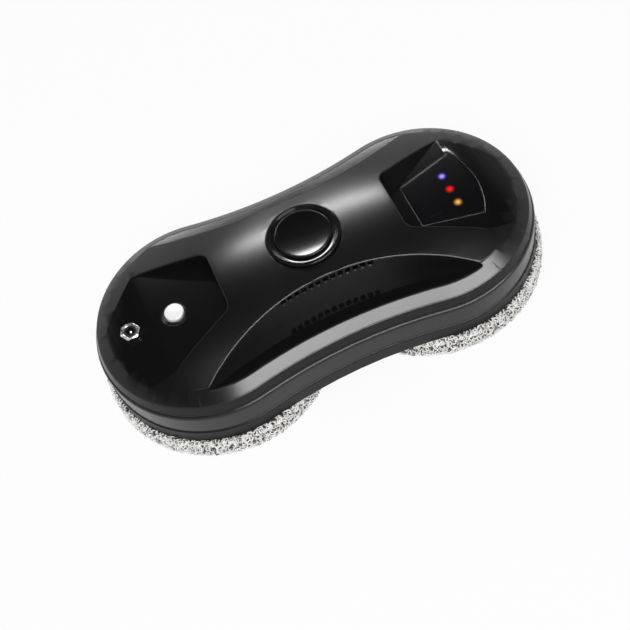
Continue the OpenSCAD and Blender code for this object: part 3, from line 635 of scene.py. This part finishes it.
class ROBOT_OT_lower_shells(Operator):
    """Build the side shell and the base shell with rounded lips"""
    bl_idname = "robot.lower_shells"
    bl_label = "Lower shells"

    def execute(self, context):
        gloss = gloss_black("Side gloss", colours().cover)
        dressed_copy("side_shell", "side_shell_band", 0.5 * MM, gloss, "cover_black")
        satin = satin_black("Base satin", colours().base)
        dressed_copy("base_shell", "base_shell_skirt", 0.4 * MM, satin, "base_black")
        return {"FINISHED"}


def bowed(radius, edge_z, rise, steps=10):
    """Profile of a shallow dome, or of a dish where it doesn't rise, from its edge to its middle."""
    return [(radius * (1 - i / steps), edge_z + rise * (1 - (1 - i / steps) ** 2)) for i in range(steps + 1)]


class ROBOT_OT_start_button(Operator):
    """Build the middle button and its ring"""
    bl_idname = "robot.start_button"
    bl_label = "Start button"

    def execute(self, context):
        c, black = control_sizes(), colours().cover
        ring_a, ring_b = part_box("start_ring")
        button_a, button_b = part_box("start_button")
        bore = button_b.x + 0.3 * MM
        lip_r = ring_b.x - c.ring_lip
        ring = lathe("start_ring_lip", [
            (bore, ring_a.z), (ring_b.x, ring_a.z), (ring_b.x, ring_b.z), (lip_r, ring_b.z),
            (lip_r - 0.5 * MM, ring_b.z - 1.3 * MM), (bore, ring_b.z - 1.5 * MM)])
        round_edges(ring, 0.45 * MM, 20)
        finish_piece(ring, polished_black("Ring polish", black), "casing", "cover_black", "start_ring")
        edge_z = ring_b.z + c.start_proud
        under_z = edge_z - 3.4 * MM
        stem_r = 3 * MM
        cap = lathe("start_button_cap", [(0, button_a.z), (stem_r, button_a.z), (stem_r, under_z),
                                         (button_b.x, under_z)] + bowed(button_b.x, edge_z, -c.start_dish))
        round_edges(cap, 0.55 * MM, 35)
        finish_piece(cap, polished_black("Button polish", black), "start_push", "cover_black", "start_button")
        return {"FINISHED"}


class ROBOT_OT_power_button(Operator):
    """Build the white power button and its ringed well"""
    bl_idname = "robot.power_button"
    bl_label = "Power button"

    def execute(self, context):
        a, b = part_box("power_button")
        well_a, well_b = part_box("power_well")
        x = (a.x + b.x) / 2
        radius = (b.x - a.x) / 2
        well_r = (well_b.x - well_a.x) / 2
        bore = radius + 0.3 * MM
        well = lathe("power_well_ring", [
            (bore, well_a.z), (well_r, well_a.z), (well_r, well_b.z - 0.3 * MM), (well_r - 0.4 * MM, well_b.z),
            (bore + 0.5 * MM, well_b.z - 0.1 * MM), (bore, well_b.z - 0.7 * MM)], (x, 0))
        round_edges(well, 0.15 * MM, 20)
        finish_piece(well, gloss_black("Well gloss", colours().cover), "casing", "base_black", "power_well")
        under_z = b.z - 5 * MM
        stem_r = 2 * MM
        cap = lathe("power_button_cap", [
            (0, a.z), (stem_r, a.z), (stem_r, under_z), (radius, under_z), (radius, b.z - 0.5 * MM)]
            + bowed(radius - 0.1 * MM, b.z - 0.4 * MM, 0.4 * MM), (x, 0))
        round_edges(cap, control_sizes().power_bevel / 2, 35)
        white = satin_plastic("Power button white", colours().button, 0.32)
        finish_piece(cap, white, "power_push", "button_white", "power_button")
        return {"FINISHED"}


class ROBOT_OT_power_inlet(Operator):
    """Build the hex nut, the barrel and the pin of the power inlet"""
    bl_idname = "robot.power_inlet"
    bl_label = "Power inlet"

    def execute(self, context):
        nut_a, nut_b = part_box("inlet_nut")
        socket_a, socket_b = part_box("inlet_socket")
        pin_a, pin_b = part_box("inlet_pin")
        x = (nut_a.x + nut_b.x) / 2
        nut_r = (nut_b.x - nut_a.x) / 2
        pin_r = (pin_b.x - pin_a.x) / 2
        barrel_r, bore = 4.4 * MM, 2.8 * MM
        height = nut_b.z - nut_a.z
        nut = cylinder("inlet_hex_nut", (x, 0, nut_a.z), nut_r, height, 6)
        edit(nut)
        bpy.ops.transform.rotate(value=math.radians(30), orient_axis="Z", center_override=(x, 0, 0))
        close_edit(nut)
        chamfer = lathe("chamfer_tool", [
            (0, nut_a.z - MM), (nut_r * 1.2, nut_a.z - MM), (nut_r * 1.2, nut_b.z - 1.6 * MM),
            (nut_r * 0.86, nut_b.z), (nut_r * 0.8, nut_b.z + MM), (0, nut_b.z + MM)], (x, 0))
        combine(nut, chamfer, "INTERSECT")
        combine(nut, cylinder("bore_tool", (x, 0, nut_a.z - MM), barrel_r, height * 2), "DIFFERENCE")
        round_edges(nut, 0.25 * MM)
        chrome = bright_metal("Nut chrome", (0.82, 0.82, 0.83), 0.12)
        finish_piece(nut, chrome, "casing", "nut_chrome", "inlet_nut")
        barrel = lathe("inlet_barrel", [
            (0, socket_a.z), (barrel_r, socket_a.z), (barrel_r, socket_b.z - 0.2 * MM),
            (barrel_r - 0.3 * MM, socket_b.z), (bore + 0.3 * MM, socket_b.z), (bore, socket_b.z - 0.3 * MM),
            (bore, pin_a.z), (0, pin_a.z)], (x, 0), 48)
        round_edges(barrel, 0.1 * MM)
        black = satin_black("Barrel black", colours().base)
        finish_piece(barrel, black, "casing", "base_black", "inlet_socket")
        pin = lathe("inlet_centre_pin", [
            (0, pin_a.z), (pin_r, pin_a.z), (pin_r, pin_b.z - 0.6 * MM), (pin_r * 0.8, pin_b.z - 0.2 * MM),
            (pin_r * 0.4, pin_b.z), (0, pin_b.z)], (x, 0), 32)
        smooth(pin)
        metal = bright_metal("Pin metal", (0.85, 0.84, 0.8), 0.15)
        finish_piece(pin, metal, "casing", "nut_chrome", "inlet_pin")
        return {"FINISHED"}


def field_groove():
    """A thin frame that cuts the fine line round the touch field."""
    s, c = body_sizes(), control_sizes()
    line, depth = 0.3 * MM, 0.25 * MM
    frames = []
    for grow, tall in ((line, 2 * depth), (0, 4 * depth)):
        clear_selection()
        bpy.ops.mesh.primitive_cube_add(size=1, location=(c.field_x + c.field_l / 2, c.field_y, s.deck_z))
        bpy.context.object.scale = (c.field_l + 2 * grow, c.field_w + 2 * grow, tall)
        frames.append(place_primitive(bpy.context.object, "field_tool"))
    return combine(*frames, "DIFFERENCE")


class ROBOT_OT_light_window(Operator):
    """Build the light window with its glowing status lights"""
    bl_idname = "robot.light_window"
    bl_label = "Light window"

    def execute(self, context):
        pane = window_solid("light_window_pane", 0, 0, control_sizes().window_t)
        round_edges(pane, 0.45 * MM)
        combine(pane, field_groove(), "DIFFERENCE")
        smooth(pane, 19)
        finish_piece(pane, window_glow("Window gloss"), "casing", "window_black", "light_window")
        return {"FINISHED"}


# Pads

def pad_profile(node):
    """Points of the pad's section, from the hollow's edge along the underside and up the side."""
    a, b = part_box(node)
    outer = (b.x - a.x) / 2
    hollow, thick, side, bend = 26 * MM, 7 * MM, 6.5 * MM, 4.5 * MM
    low, high = a.z, b.z
    edge = 2 * MM
    corner = [(outer - bend + bend * math.sin(t), low + bend - bend * math.cos(t))
              for t in np.linspace(0, math.pi / 2, 7)]
    lip = [(outer - edge + edge * math.cos(t), high - edge + edge * math.sin(t))
           for t in np.linspace(0, math.pi / 2, 5)]
    return ([(hollow, low + thick), (hollow, low + 1.5 * MM), (hollow + 1.5 * MM, low)] + corner
            + [(outer, high - 3 * MM)] + lip + [(outer - side + MM, high), (outer - side, low + thick)])


def pile_places(profile, pitch, chance):
    """Places and outward directions of the loops, ring by ring along the profile."""
    places = []
    for (r0, z0), (r1, z1) in zip(profile, profile[1:]):
        span = math.hypot(r1 - r0, z1 - z0)
        rows = max(1, round(span / pitch))
        across = Vector((z1 - z0, 0, -(r1 - r0))).normalized()
        for row in range(rows):
            share = (row + 0.5) / rows
            radius, z = r0 + (r1 - r0) * share, z0 + (z1 - z0) * share
            count = max(8, round(2 * math.pi * radius / pitch))
            start = chance.random()
            for k in range(count):
                angle = 2 * math.pi * (k + start + chance.uniform(-0.32, 0.32)) / count
                wander = chance.uniform(-0.32, 0.32) * pitch
                r = radius + wander * (r1 - r0) / span
                h = z + wander * (z1 - z0) / span
                out = Vector((math.cos(angle) * across.x, math.sin(angle) * across.x, across.z))
                places.append((Vector((math.cos(angle) * r, math.sin(angle) * r, h)), out))
    return places


def pile_loop(pile, chance):
    """Points of one loop of yarn, as rings of three about a half circle that leans at random."""
    segments, sides = 5, 3
    radius = pile.loop_r * chance.uniform(0.75, 1.25)
    yarn = pile.yarn_r * chance.uniform(0.85, 1.2)
    lean = (Matrix.Rotation(chance.uniform(-0.7, 0.7), 3, "X")
            @ Matrix.Rotation(chance.uniform(-0.5, 0.5), 3, "Y"))
    turn = Matrix.Rotation(chance.uniform(0, 2 * math.pi), 3, "Z") @ lean
    points = []
    for i in range(segments + 1):
        a = math.pi * (i / segments * 1.3 - 0.15)
        centre = Vector((radius * math.cos(a), 0, radius * math.sin(a) * 1.1))
        along = Vector((math.cos(a), 0, math.sin(a)))
        for j in range(sides):
            b = 2 * math.pi * j / sides
            points.append(turn @ (centre + yarn * (math.cos(b) * along + math.sin(b) * Vector((0, 1, 0)))))
    faces = []
    for a in range(0, segments * sides, sides):
        for j in range(sides):
            k = (j + 1) % sides
            faces.append((a + j, a + k, a + sides + k, a + sides + j))
    return points, faces


def pad_core(name, profile, centre, inset):
    """The pad's dense ground under its pile."""
    low = min(z for _, z in profile)
    section = [(max(r - inset, 20 * MM) if r > 40 * MM else r + inset * 0.5, max(z, low + inset * 0.6))
               for r, z in profile]
    return lathe(name, section, centre, 128)


def pad_mesh(name, node, pile, chance):
    """The pad's ground and its loops as one mesh, with a tone for each vertex that also carries painted shade.
    """
    a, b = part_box(node)
    centre = (a + b) / 2
    profile = pad_profile(node)
    core = pad_core(name, profile, centre.xy, 0.9 * MM)
    verts = [v.co.copy() for v in core.data.vertices]
    faces = [tuple(p.vertices) for p in core.data.polygons]
    # The ground gets a near-black tone: painted shade between the loops.
    tones_and_shade = [0.05] * len(verts)
    bpy.data.objects.remove(core)
    shift = Vector((centre.x, centre.y, 0))
    # foot darkens the three points at each end of a loop: painted shade where the loop goes into the ground.
    dark_share, sunk, foot = 0.16, 0.75 * MM, 0.35
    for place, out in pile_places(profile[:-1], pile.pitch, chance):
        points, loop_faces = pile_loop(pile, chance)
        facing = out.to_track_quat("Z", "Y").to_matrix()
        first = len(verts)
        tone = chance.uniform(0.7, 1.0) if chance.random() > dark_share else chance.uniform(0.15, 0.4)
        for i, p in enumerate(points):
            q = shift + place - out * sunk + facing @ p
            verts.append(Vector((q.x, q.y, max(q.z, a.z))))
            tones_and_shade.append(tone * (foot if i < 3 or i > len(points) - 4 else 1))
        faces += [tuple(first + k for k in f) for f in loop_faces]
    mesh = bpy.data.meshes.new(name)
    mesh.from_pydata(verts, [], faces)
    mesh.shade_smooth()
    mesh.attributes.new("tone", "FLOAT", "POINT").data.foreach_set("value", tones_and_shade)
    return mesh


class ROBOT_OT_cleaning_pads(Operator):
    """Build both pads with their looped microfibre pile"""
    bl_idname = "robot.cleaning_pads"
    bl_label = "Cleaning pads"

    def execute(self, context):
        pile = context.scene.robot_pile
        pads = (("cleaning_pad_left", "left_pad"), ("cleaning_pad_right", "right_pad"))
        for offset, (node, body) in enumerate(pads):
            name = node + "_pile"
            obj = bpy.data.objects.new(name, pad_mesh(name, node, pile, random.Random(pile.seed + offset)))
            context.scene.collection.objects.link(obj)
            finish_piece(obj, microfibre("Microfibre " + body), body, "pad_microfibre", node)
        return {"FINISHED"}


# Finishes

def feed(tree, node, inputs):
    """Gives a node's inputs their values, or links them to the outputs named for them."""
    for socket, value in inputs.items():
        if isinstance(value, bpy.types.NodeSocket):
            tree.links.new(value, node.inputs[socket])
        else:
            node.inputs[socket].default_value = value


def add_node(tree, kind, inputs=None, out=0, **settings):
    """Adds a node with its settings and inputs, and returns one of its outputs."""
    node = tree.nodes.new("ShaderNode" + kind)
    for name, value in settings.items():
        setattr(node, name, value)
    feed(tree, node, inputs or {})
    return node.outputs[out]


def add_ramp(tree, share, *stops):
    """Adds a colour ramp between two stops of (position, colour)."""
    ramp = add_node(tree, "ValToRGB", {"Fac": share}, "Color")
    for element, (position, colour) in zip(ramp.node.color_ramp.elements, stops):
        element.position = position
        element.color = (*colour, 1)
    return ramp


def new_material(name):
    """A material with its node tree and its shader."""
    material = bpy.data.materials.new(name)
    material.use_nodes = True
    return material, material.node_tree, material.node_tree.nodes["Principled BSDF"]


def new_group(name, inputs, outputs):
    """A shader node group with named sockets, its input's outputs and its output node."""
    tree = bpy.data.node_groups.new(name, "ShaderNodeTree")
    for socket, value in inputs.items():
        kind = "NodeSocketColor" if socket == "Color" else "NodeSocketFloat"
        tree.interface.new_socket(socket, in_out="INPUT", socket_type=kind).default_value = value
    for socket in outputs:
        kind = "NodeSocketColor" if socket == "Color" else "NodeSocketFloat"
        tree.interface.new_socket(socket, in_out="OUTPUT", socket_type=kind)
    return tree, tree.nodes.new("NodeGroupInput").outputs, tree.nodes.new("NodeGroupOutput")


def moulded_group():
    """Uneven colour and gloss with a fine grain, as on moulded plastic."""
    name = "Moulded surface"
    if name in bpy.data.node_groups:
        return bpy.data.node_groups[name]
    tree, given, result = new_group(
        name, {"Color": (0.5, 0.5, 0.5, 1), "Color Spread": 0.1, "Roughness": 0.3, "Roughness Spread": 0.05,
               "Patch Scale": 40, "Grain Scale": 1800}, ("Color", "Roughness", "Height"))
    place = add_node(tree, "TexCoord", out="Object")
    patch = add_node(tree, "TexNoise", {"Vector": place, "Scale": given["Patch Scale"], "Detail": 4}, "Fac")
    grain = add_node(tree, "TexNoise", {"Vector": place, "Scale": given["Grain Scale"], "Detail": 2}, "Fac")
    centred = add_node(tree, "Math", {0: patch, 1: 0.5}, operation="SUBTRACT")
    rough = add_node(tree, "Math", {0: centred, 1: given["Roughness Spread"], 2: given["Roughness"]},
                     operation="MULTIPLY_ADD")
    bright = add_node(tree, "Math", {0: centred, 1: given["Color Spread"], 2: 1}, operation="MULTIPLY_ADD")
    tint = add_node(tree, "VectorMath", {0: given["Color"], "Scale": bright}, "Vector", operation="SCALE")
    feed(tree, result, {"Color": tint, "Roughness": rough, "Height": grain})
    return tree


def surface(name, colour, roughness, spread=0.1, rough_spread=0.05, grain=1800, bump=0.02, patch=40, **fixed):
    """A material over the moulded surface group, with its fixed values on the shader itself."""
    material, tree, shader = new_material(name)
    moulded = add_node(tree, "Group", {
        "Color": (*colour, 1), "Color Spread": spread, "Roughness": roughness, "Roughness Spread": rough_spread,
        "Grain Scale": grain, "Patch Scale": patch}, node_tree=moulded_group()).node.outputs
    relief = add_node(tree, "Bump", {"Strength": bump, "Distance": 0.1 * MM, "Height": moulded["Height"]},
                      "Normal")
    feed(tree, shader, {"Base Color": moulded["Color"], "Roughness": moulded["Roughness"], "Normal": relief})
    feed(tree, shader, {socket.replace("_", " "): value for socket, value in fixed.items()})
    return material


def gloss_black(name, colour):
    """Moulded gloss, a little hazy, so that highlights run out softly."""
    return surface(name, colour, 0.25, spread=0.3, rough_spread=0.05, bump=0.01, patch=22,
                   Specular_IOR_Level=0.28)


def polished_black(name, colour):
    """Clear gloss that mirrors like lacquer."""
    return surface(name, colour, 0.09, spread=0.3, rough_spread=0.03, bump=0.005, patch=22,
                   Specular_IOR_Level=0.28)


def satin_black(name, colour):
    return surface(name, colour, 0.34, spread=0.3, rough_spread=0.08, bump=0.06, Specular_IOR_Level=0.12)


def satin_plastic(name, colour, roughness):
    return surface(name, colour, roughness, spread=0.06, bump=0.05)


def bright_metal(name, colour, roughness):
    return surface(name, colour, roughness, spread=0.05, rough_spread=0.1, grain=2600, bump=0.05, patch=300,
                   Metallic=1.0)


def microfibre(name):
    """Looped pile: pale yarn, with painted shade between the loops and at their feet, and the tone kept per
    loop.
    """
    material, tree, shader = new_material(name)
    tone = add_node(tree, "Attribute", out="Fac", attribute_name="tone")
    place = add_node(tree, "TexCoord", out="Object")
    fibre = add_node(tree, "TexNoise", {"Vector": place, "Scale": 2200, "Detail": 3}, "Fac")
    fuzz = add_node(tree, "Math", {0: fibre, 1: 0.35, 2: -0.17}, operation="MULTIPLY_ADD")
    total = add_node(tree, "Math", {0: tone, 1: fuzz})
    # Low tones run to near black, which paints the shade on the ground and at the loops' feet.
    yarn = add_ramp(tree, total, (0.1, (0.03, 0.028, 0.026)), (0.62, colours().pile))
    relief = add_node(tree, "Bump", {"Strength": 0.4, "Distance": 0.2 * MM, "Height": fibre}, "Normal")
    feed(tree, shader, {"Base Color": yarn, "Normal": relief, "Roughness": 0.9, "Specular IOR Level": 0.2,
                        "Sheen Weight": 0.25})
    return material


def light_spots_group():
    """Colour of the status lights as they shine through the window."""
    c, hues = control_sizes(), colours()
    tree, given, result = new_group(
        "Light spots", {"Heart Radius": 0.85 * c.light_r, "Halo Radius": 1.15 * c.light_r}, ("Color",))
    place = add_node(tree, "TexCoord", out="Object")
    total = (0, 0, 0)
    for row, hue, heart in ((1, hues.blue, hues.blue_heart), (0, hues.red, hues.red_heart),
                            (-1, hues.amber, hues.amber_heart)):
        middle = (c.light_x, row * c.light_pitch, body_sizes().deck_z)
        away = add_node(tree, "VectorMath", {0: place, 1: middle}, "Value", operation="DISTANCE")
        for radius, tint in (("Halo Radius", hue), ("Heart Radius", [b - a for a, b in zip(hue, heart)])):
            share = add_node(tree, "MapRange", {"Value": away, "From Min": given[radius], "From Max": 0},
                             "Result", interpolation_type="SMOOTHSTEP")
            glow = add_node(tree, "VectorMath", {0: tint, "Scale": share}, "Vector", operation="SCALE")
            total = add_node(tree, "VectorMath", {0: total, 1: glow}, "Vector")
    feed(tree, result, {"Color": total})
    return tree


def window_glow(name):
    """Black gloss with the status lights shining through."""
    material = polished_black(name, colours().window)
    tree = material.node_tree
    spots = add_node(tree, "Group", out="Color", node_tree=light_spots_group())
    feed(tree, tree.nodes["Principled BSDF"], {"Emission Color": spots, "Emission Strength": 1.0})
    return material


INNER_FINISHES = {
    "seal_rubber": lambda n: surface(n, (0.03, 0.03, 0.032), 0.55, bump=0.2, grain=900),
    "inner_plastic": lambda n: satin_plastic(n, (0.10, 0.10, 0.11), 0.45),
    "base_black": lambda n: satin_black(n, (0.02, 0.02, 0.022)),
    "cover_black": lambda n: gloss_black(n, (0.012, 0.012, 0.013)),
    "gear_cream": lambda n: satin_plastic(n, (0.78, 0.74, 0.62), 0.4),
    "spring_steel": lambda n: bright_metal(n, (0.62, 0.63, 0.65), 0.28),
    "motor_steel": lambda n: bright_metal(n, (0.55, 0.56, 0.58), 0.35),
    "bush_bronze": lambda n: bright_metal(n, (0.70, 0.47, 0.24), 0.38),
    "battery_blue": lambda n: satin_plastic(n, (0.06, 0.16, 0.42), 0.35),
    "board_green": lambda n: surface(n, (0.02, 0.16, 0.07), 0.4, spread=0.5, patch=500, grain=3000, bump=0.1),
    "hook_fabric": lambda n: surface(n, (0.08, 0.08, 0.09), 0.9, spread=0.6, patch=900, grain=2400, bump=0.7),
    "light_lens": lambda n: satin_plastic(n, (0.7, 0.7, 0.72), 0.25),
}


class ROBOT_OT_inner_finishes(Operator):
    """Give every working part inside the body its finish"""
    bl_idname = "robot.inner_finishes"
    bl_label = "Inner finishes"

    def execute(self, context):
        made = {}
        for part in frame["record"]["subparts"]:
            slot = part["material_slot"]
            if slot in INNER_FINISHES:
                made[slot] = made.get(slot) or INNER_FINISHES[slot]("Finish " + slot)
                node = NODES[part["node"]]
                node.data.materials.clear()
                node.data.materials.append(made[slot])
        return {"FINISHED"}


# Stage

def view_axes(turn, rise, roll):
    """Right, up and back axes of a camera."""
    back = Vector((math.sin(turn) * math.cos(rise), -math.cos(turn) * math.cos(rise), math.sin(rise)))
    right = Vector((math.cos(turn), math.sin(turn), 0))
    up = back.cross(right)
    return right * math.cos(roll) + up * math.sin(roll), up * math.cos(roll) - right * math.sin(roll), back


class StageValues(PropertyGroup):
    """The camera's place and the strength of the lamps."""
    turn: angle("Turn", -7.41, "Azimuth of the camera")
    rise: angle("Rise", 56.56, "Elevation of the camera")
    roll: angle("Roll", -18.37, "Roll of the camera")
    away: length("Distance", 884.35, "Distance of the camera from its target")
    slide_x: length("Slide", 2.205, "Slide of the camera along its own right")
    slide_y: length("Lift", -34.82, "Slide of the camera along its own up")
    target_z: length("Target", 57, "Height of the camera's target")
    lens: FloatProperty(name="Lens", description="Focal length of the camera", default=77.59, unit="CAMERA")
    front_sheen: power("Front sheen", 21, "Power of the front lamp, seen in gloss")
    back_sheen: power("Back sheen", 12, "Power of the back lamp, seen in gloss")
    top_sheen: power("Top sheen", 2, "Power of the top lamp, seen in gloss")
    low_strip: power("Low strip", 9, "Power of the low strip, seen in gloss")
    key_power: power("Key", 11, "Power of the lamp that lights the colours")
    fill: FloatProperty(name="Fill", description="Strength of the even light", default=0.55)


def softbox(name, place, target, width, depth, power):
    """A rectangular lamp at a place, facing a target."""
    data = bpy.data.lights.new(name, "AREA")
    data.shape = "RECTANGLE"
    data.size = width
    data.size_y = depth
    data.energy = power
    lamp = bpy.data.objects.new(name, data)
    lamp.location = place
    lamp.rotation_euler = (Vector(place) - Vector(target)).to_track_quat("Z", "Y").to_euler()
    bpy.context.scene.collection.objects.link(lamp)
    lamp.visible_camera = False
    return lamp


def seen_ray(tree):
    """1 for camera, glossy and transmission rays, and 0 for the rest."""
    rays = tree.nodes.new("ShaderNodeLightPath").outputs
    total = rays["Is Camera Ray"]
    for name in ("Is Glossy Ray", "Is Transmission Ray"):
        total = add_node(tree, "Math", {0: total, 1: rays[name]}, use_clamp=True)
    return total


def set_camera(scene):
    """Puts the camera where the stage values say."""
    v = scene.robot_stage
    right, up, back = view_axes(v.turn, v.rise, v.roll)
    camera = bpy.data.objects.new("Camera", bpy.data.cameras.new("Camera"))
    scene.collection.objects.link(camera)
    camera.data.lens = v.lens
    camera.data.clip_start = 0.01
    spot = back * v.away + right * v.slide_x + up * v.slide_y + Vector((0, 0, v.target_z))
    camera.matrix_world = Matrix.Translation(spot) @ Matrix((right, up, back)).transposed().to_4x4()
    scene.camera = camera
    scene.view_settings.view_transform = "Standard"


def lay_floor():
    """A wide white floor that is bright in seen rays and lit by the lamps for the rest."""
    clear_selection()
    bpy.ops.mesh.primitive_plane_add(size=12, location=(0, 0, 0))
    floor = place_primitive(bpy.context.object, "Floor")
    paint, tree, shader = new_material("Floor white")
    feed(tree, shader, {"Base Color": (0.8, 0.8, 0.8, 1), "Roughness": 0.9, "Specular IOR Level": 0.1})
    bright = add_node(tree, "Emission", {"Color": (1, 1, 1, 1)})
    share = add_node(tree, "Math", {0: seen_ray(tree), 1: 0.92}, operation="MULTIPLY")
    mix = add_node(tree, "MixShader", {"Fac": share, 1: shader.outputs[0], 2: bright})
    feed(tree, tree.nodes["Material Output"], {"Surface": mix})
    floor.data.materials.append(paint)


def light_world(scene):
    """In seen rays white to the horizon and dark above it, and an even light for the rest."""
    scene.world = bpy.data.worlds.new("Studio")
    scene.world.use_nodes = True
    tree = scene.world.node_tree
    place = add_node(tree, "TexCoord", out="Generated")
    height = add_node(tree, "SeparateXYZ", {0: place}, "Z")
    sky = add_ramp(tree, height, (0.45, (1, 1, 1)), (0.72, (0.02, 0.02, 0.02)))
    even = (*[scene.robot_stage.fill] * 3, 1)
    mix = add_node(tree, "Mix", {"Factor": seen_ray(tree), "A": even, "B": sky}, "Result", data_type="RGBA")
    feed(tree, tree.nodes["Background"], {"Color": mix})


class ROBOT_OT_stage(Operator):
    """Set up the floor, the light and the camera"""
    bl_idname = "robot.stage"
    bl_label = "Stage"

    def execute(self, context):
        scene = context.scene
        v = scene.robot_stage
        set_camera(scene)
        lay_floor()
        light_world(scene)
        for name, place, size, power in (
            ("Front sheen", (0.35, -0.61, 0.70), (0.86, 0.34), v.front_sheen),
            ("Back sheen", (0.14, 0.655, 0.70), (0.55, 0.145), v.back_sheen),
            ("Top sheen", (0.10, -0.20, 0.80), (1.10, 0.30), v.top_sheen),
        ):
            softbox(name, place, (place[0], place[1], 0), *size, power).visible_diffuse = False
        strip = softbox("Low strip", (0.35, -0.80, 0.30), (0.1, 0, 0.05), 1.0, 0.10, v.low_strip)
        strip.visible_diffuse = False
        softbox("Key", (-0.30, -0.80, 1.20), (0, 0, 0.05), 0.6, 0.6, v.key_power).visible_glossy = False
        return {"FINISHED"}


class ROBOT_PT_panel(Panel):
    """Lists the pieces and the sizes"""
    bl_label = "Window cleaning robot"
    bl_idname = "ROBOT_PT_panel"
    bl_space_type = "VIEW_3D"
    bl_region_type = "UI"
    bl_category = "Robot"

    def draw(self, context):
        layout = self.layout
        for operator in OPERATORS:
            layout.operator(operator.bl_idname)
        for name, group in GROUPS:
            box = layout.box()
            box.label(text=group.__doc__)
            for key in group.__annotations__:
                box.prop(getattr(context.scene, name), key)


GROUPS = (("robot_body", BodySizes), ("robot_vents", VentSizes), ("robot_controls", ControlSizes),
          ("robot_pile", PileSizes), ("robot_colours", FinishColours), ("robot_stage", StageValues))
OPERATORS = (ROBOT_OT_inner_finishes, ROBOT_OT_top_cover, ROBOT_OT_lower_shells, ROBOT_OT_start_button,
             ROBOT_OT_power_button, ROBOT_OT_power_inlet, ROBOT_OT_light_window, ROBOT_OT_cleaning_pads,
             ROBOT_OT_stage)
CLASSES = tuple(group for _, group in GROUPS) + OPERATORS + (ROBOT_PT_panel,)


def register():
    for item in CLASSES:
        bpy.utils.register_class(item)
    for name, group in GROUPS:
        setattr(bpy.types.Scene, name, PointerProperty(type=group))


def unregister():
    for name, _ in GROUPS:
        delattr(bpy.types.Scene, name)
    for item in reversed(CLASSES):
        bpy.utils.unregister_class(item)


def main():
    register()
    for operator in OPERATORS:
        getattr(bpy.ops.robot, operator.bl_idname.split(".")[1])()


if __name__ == "__main__":
    main()
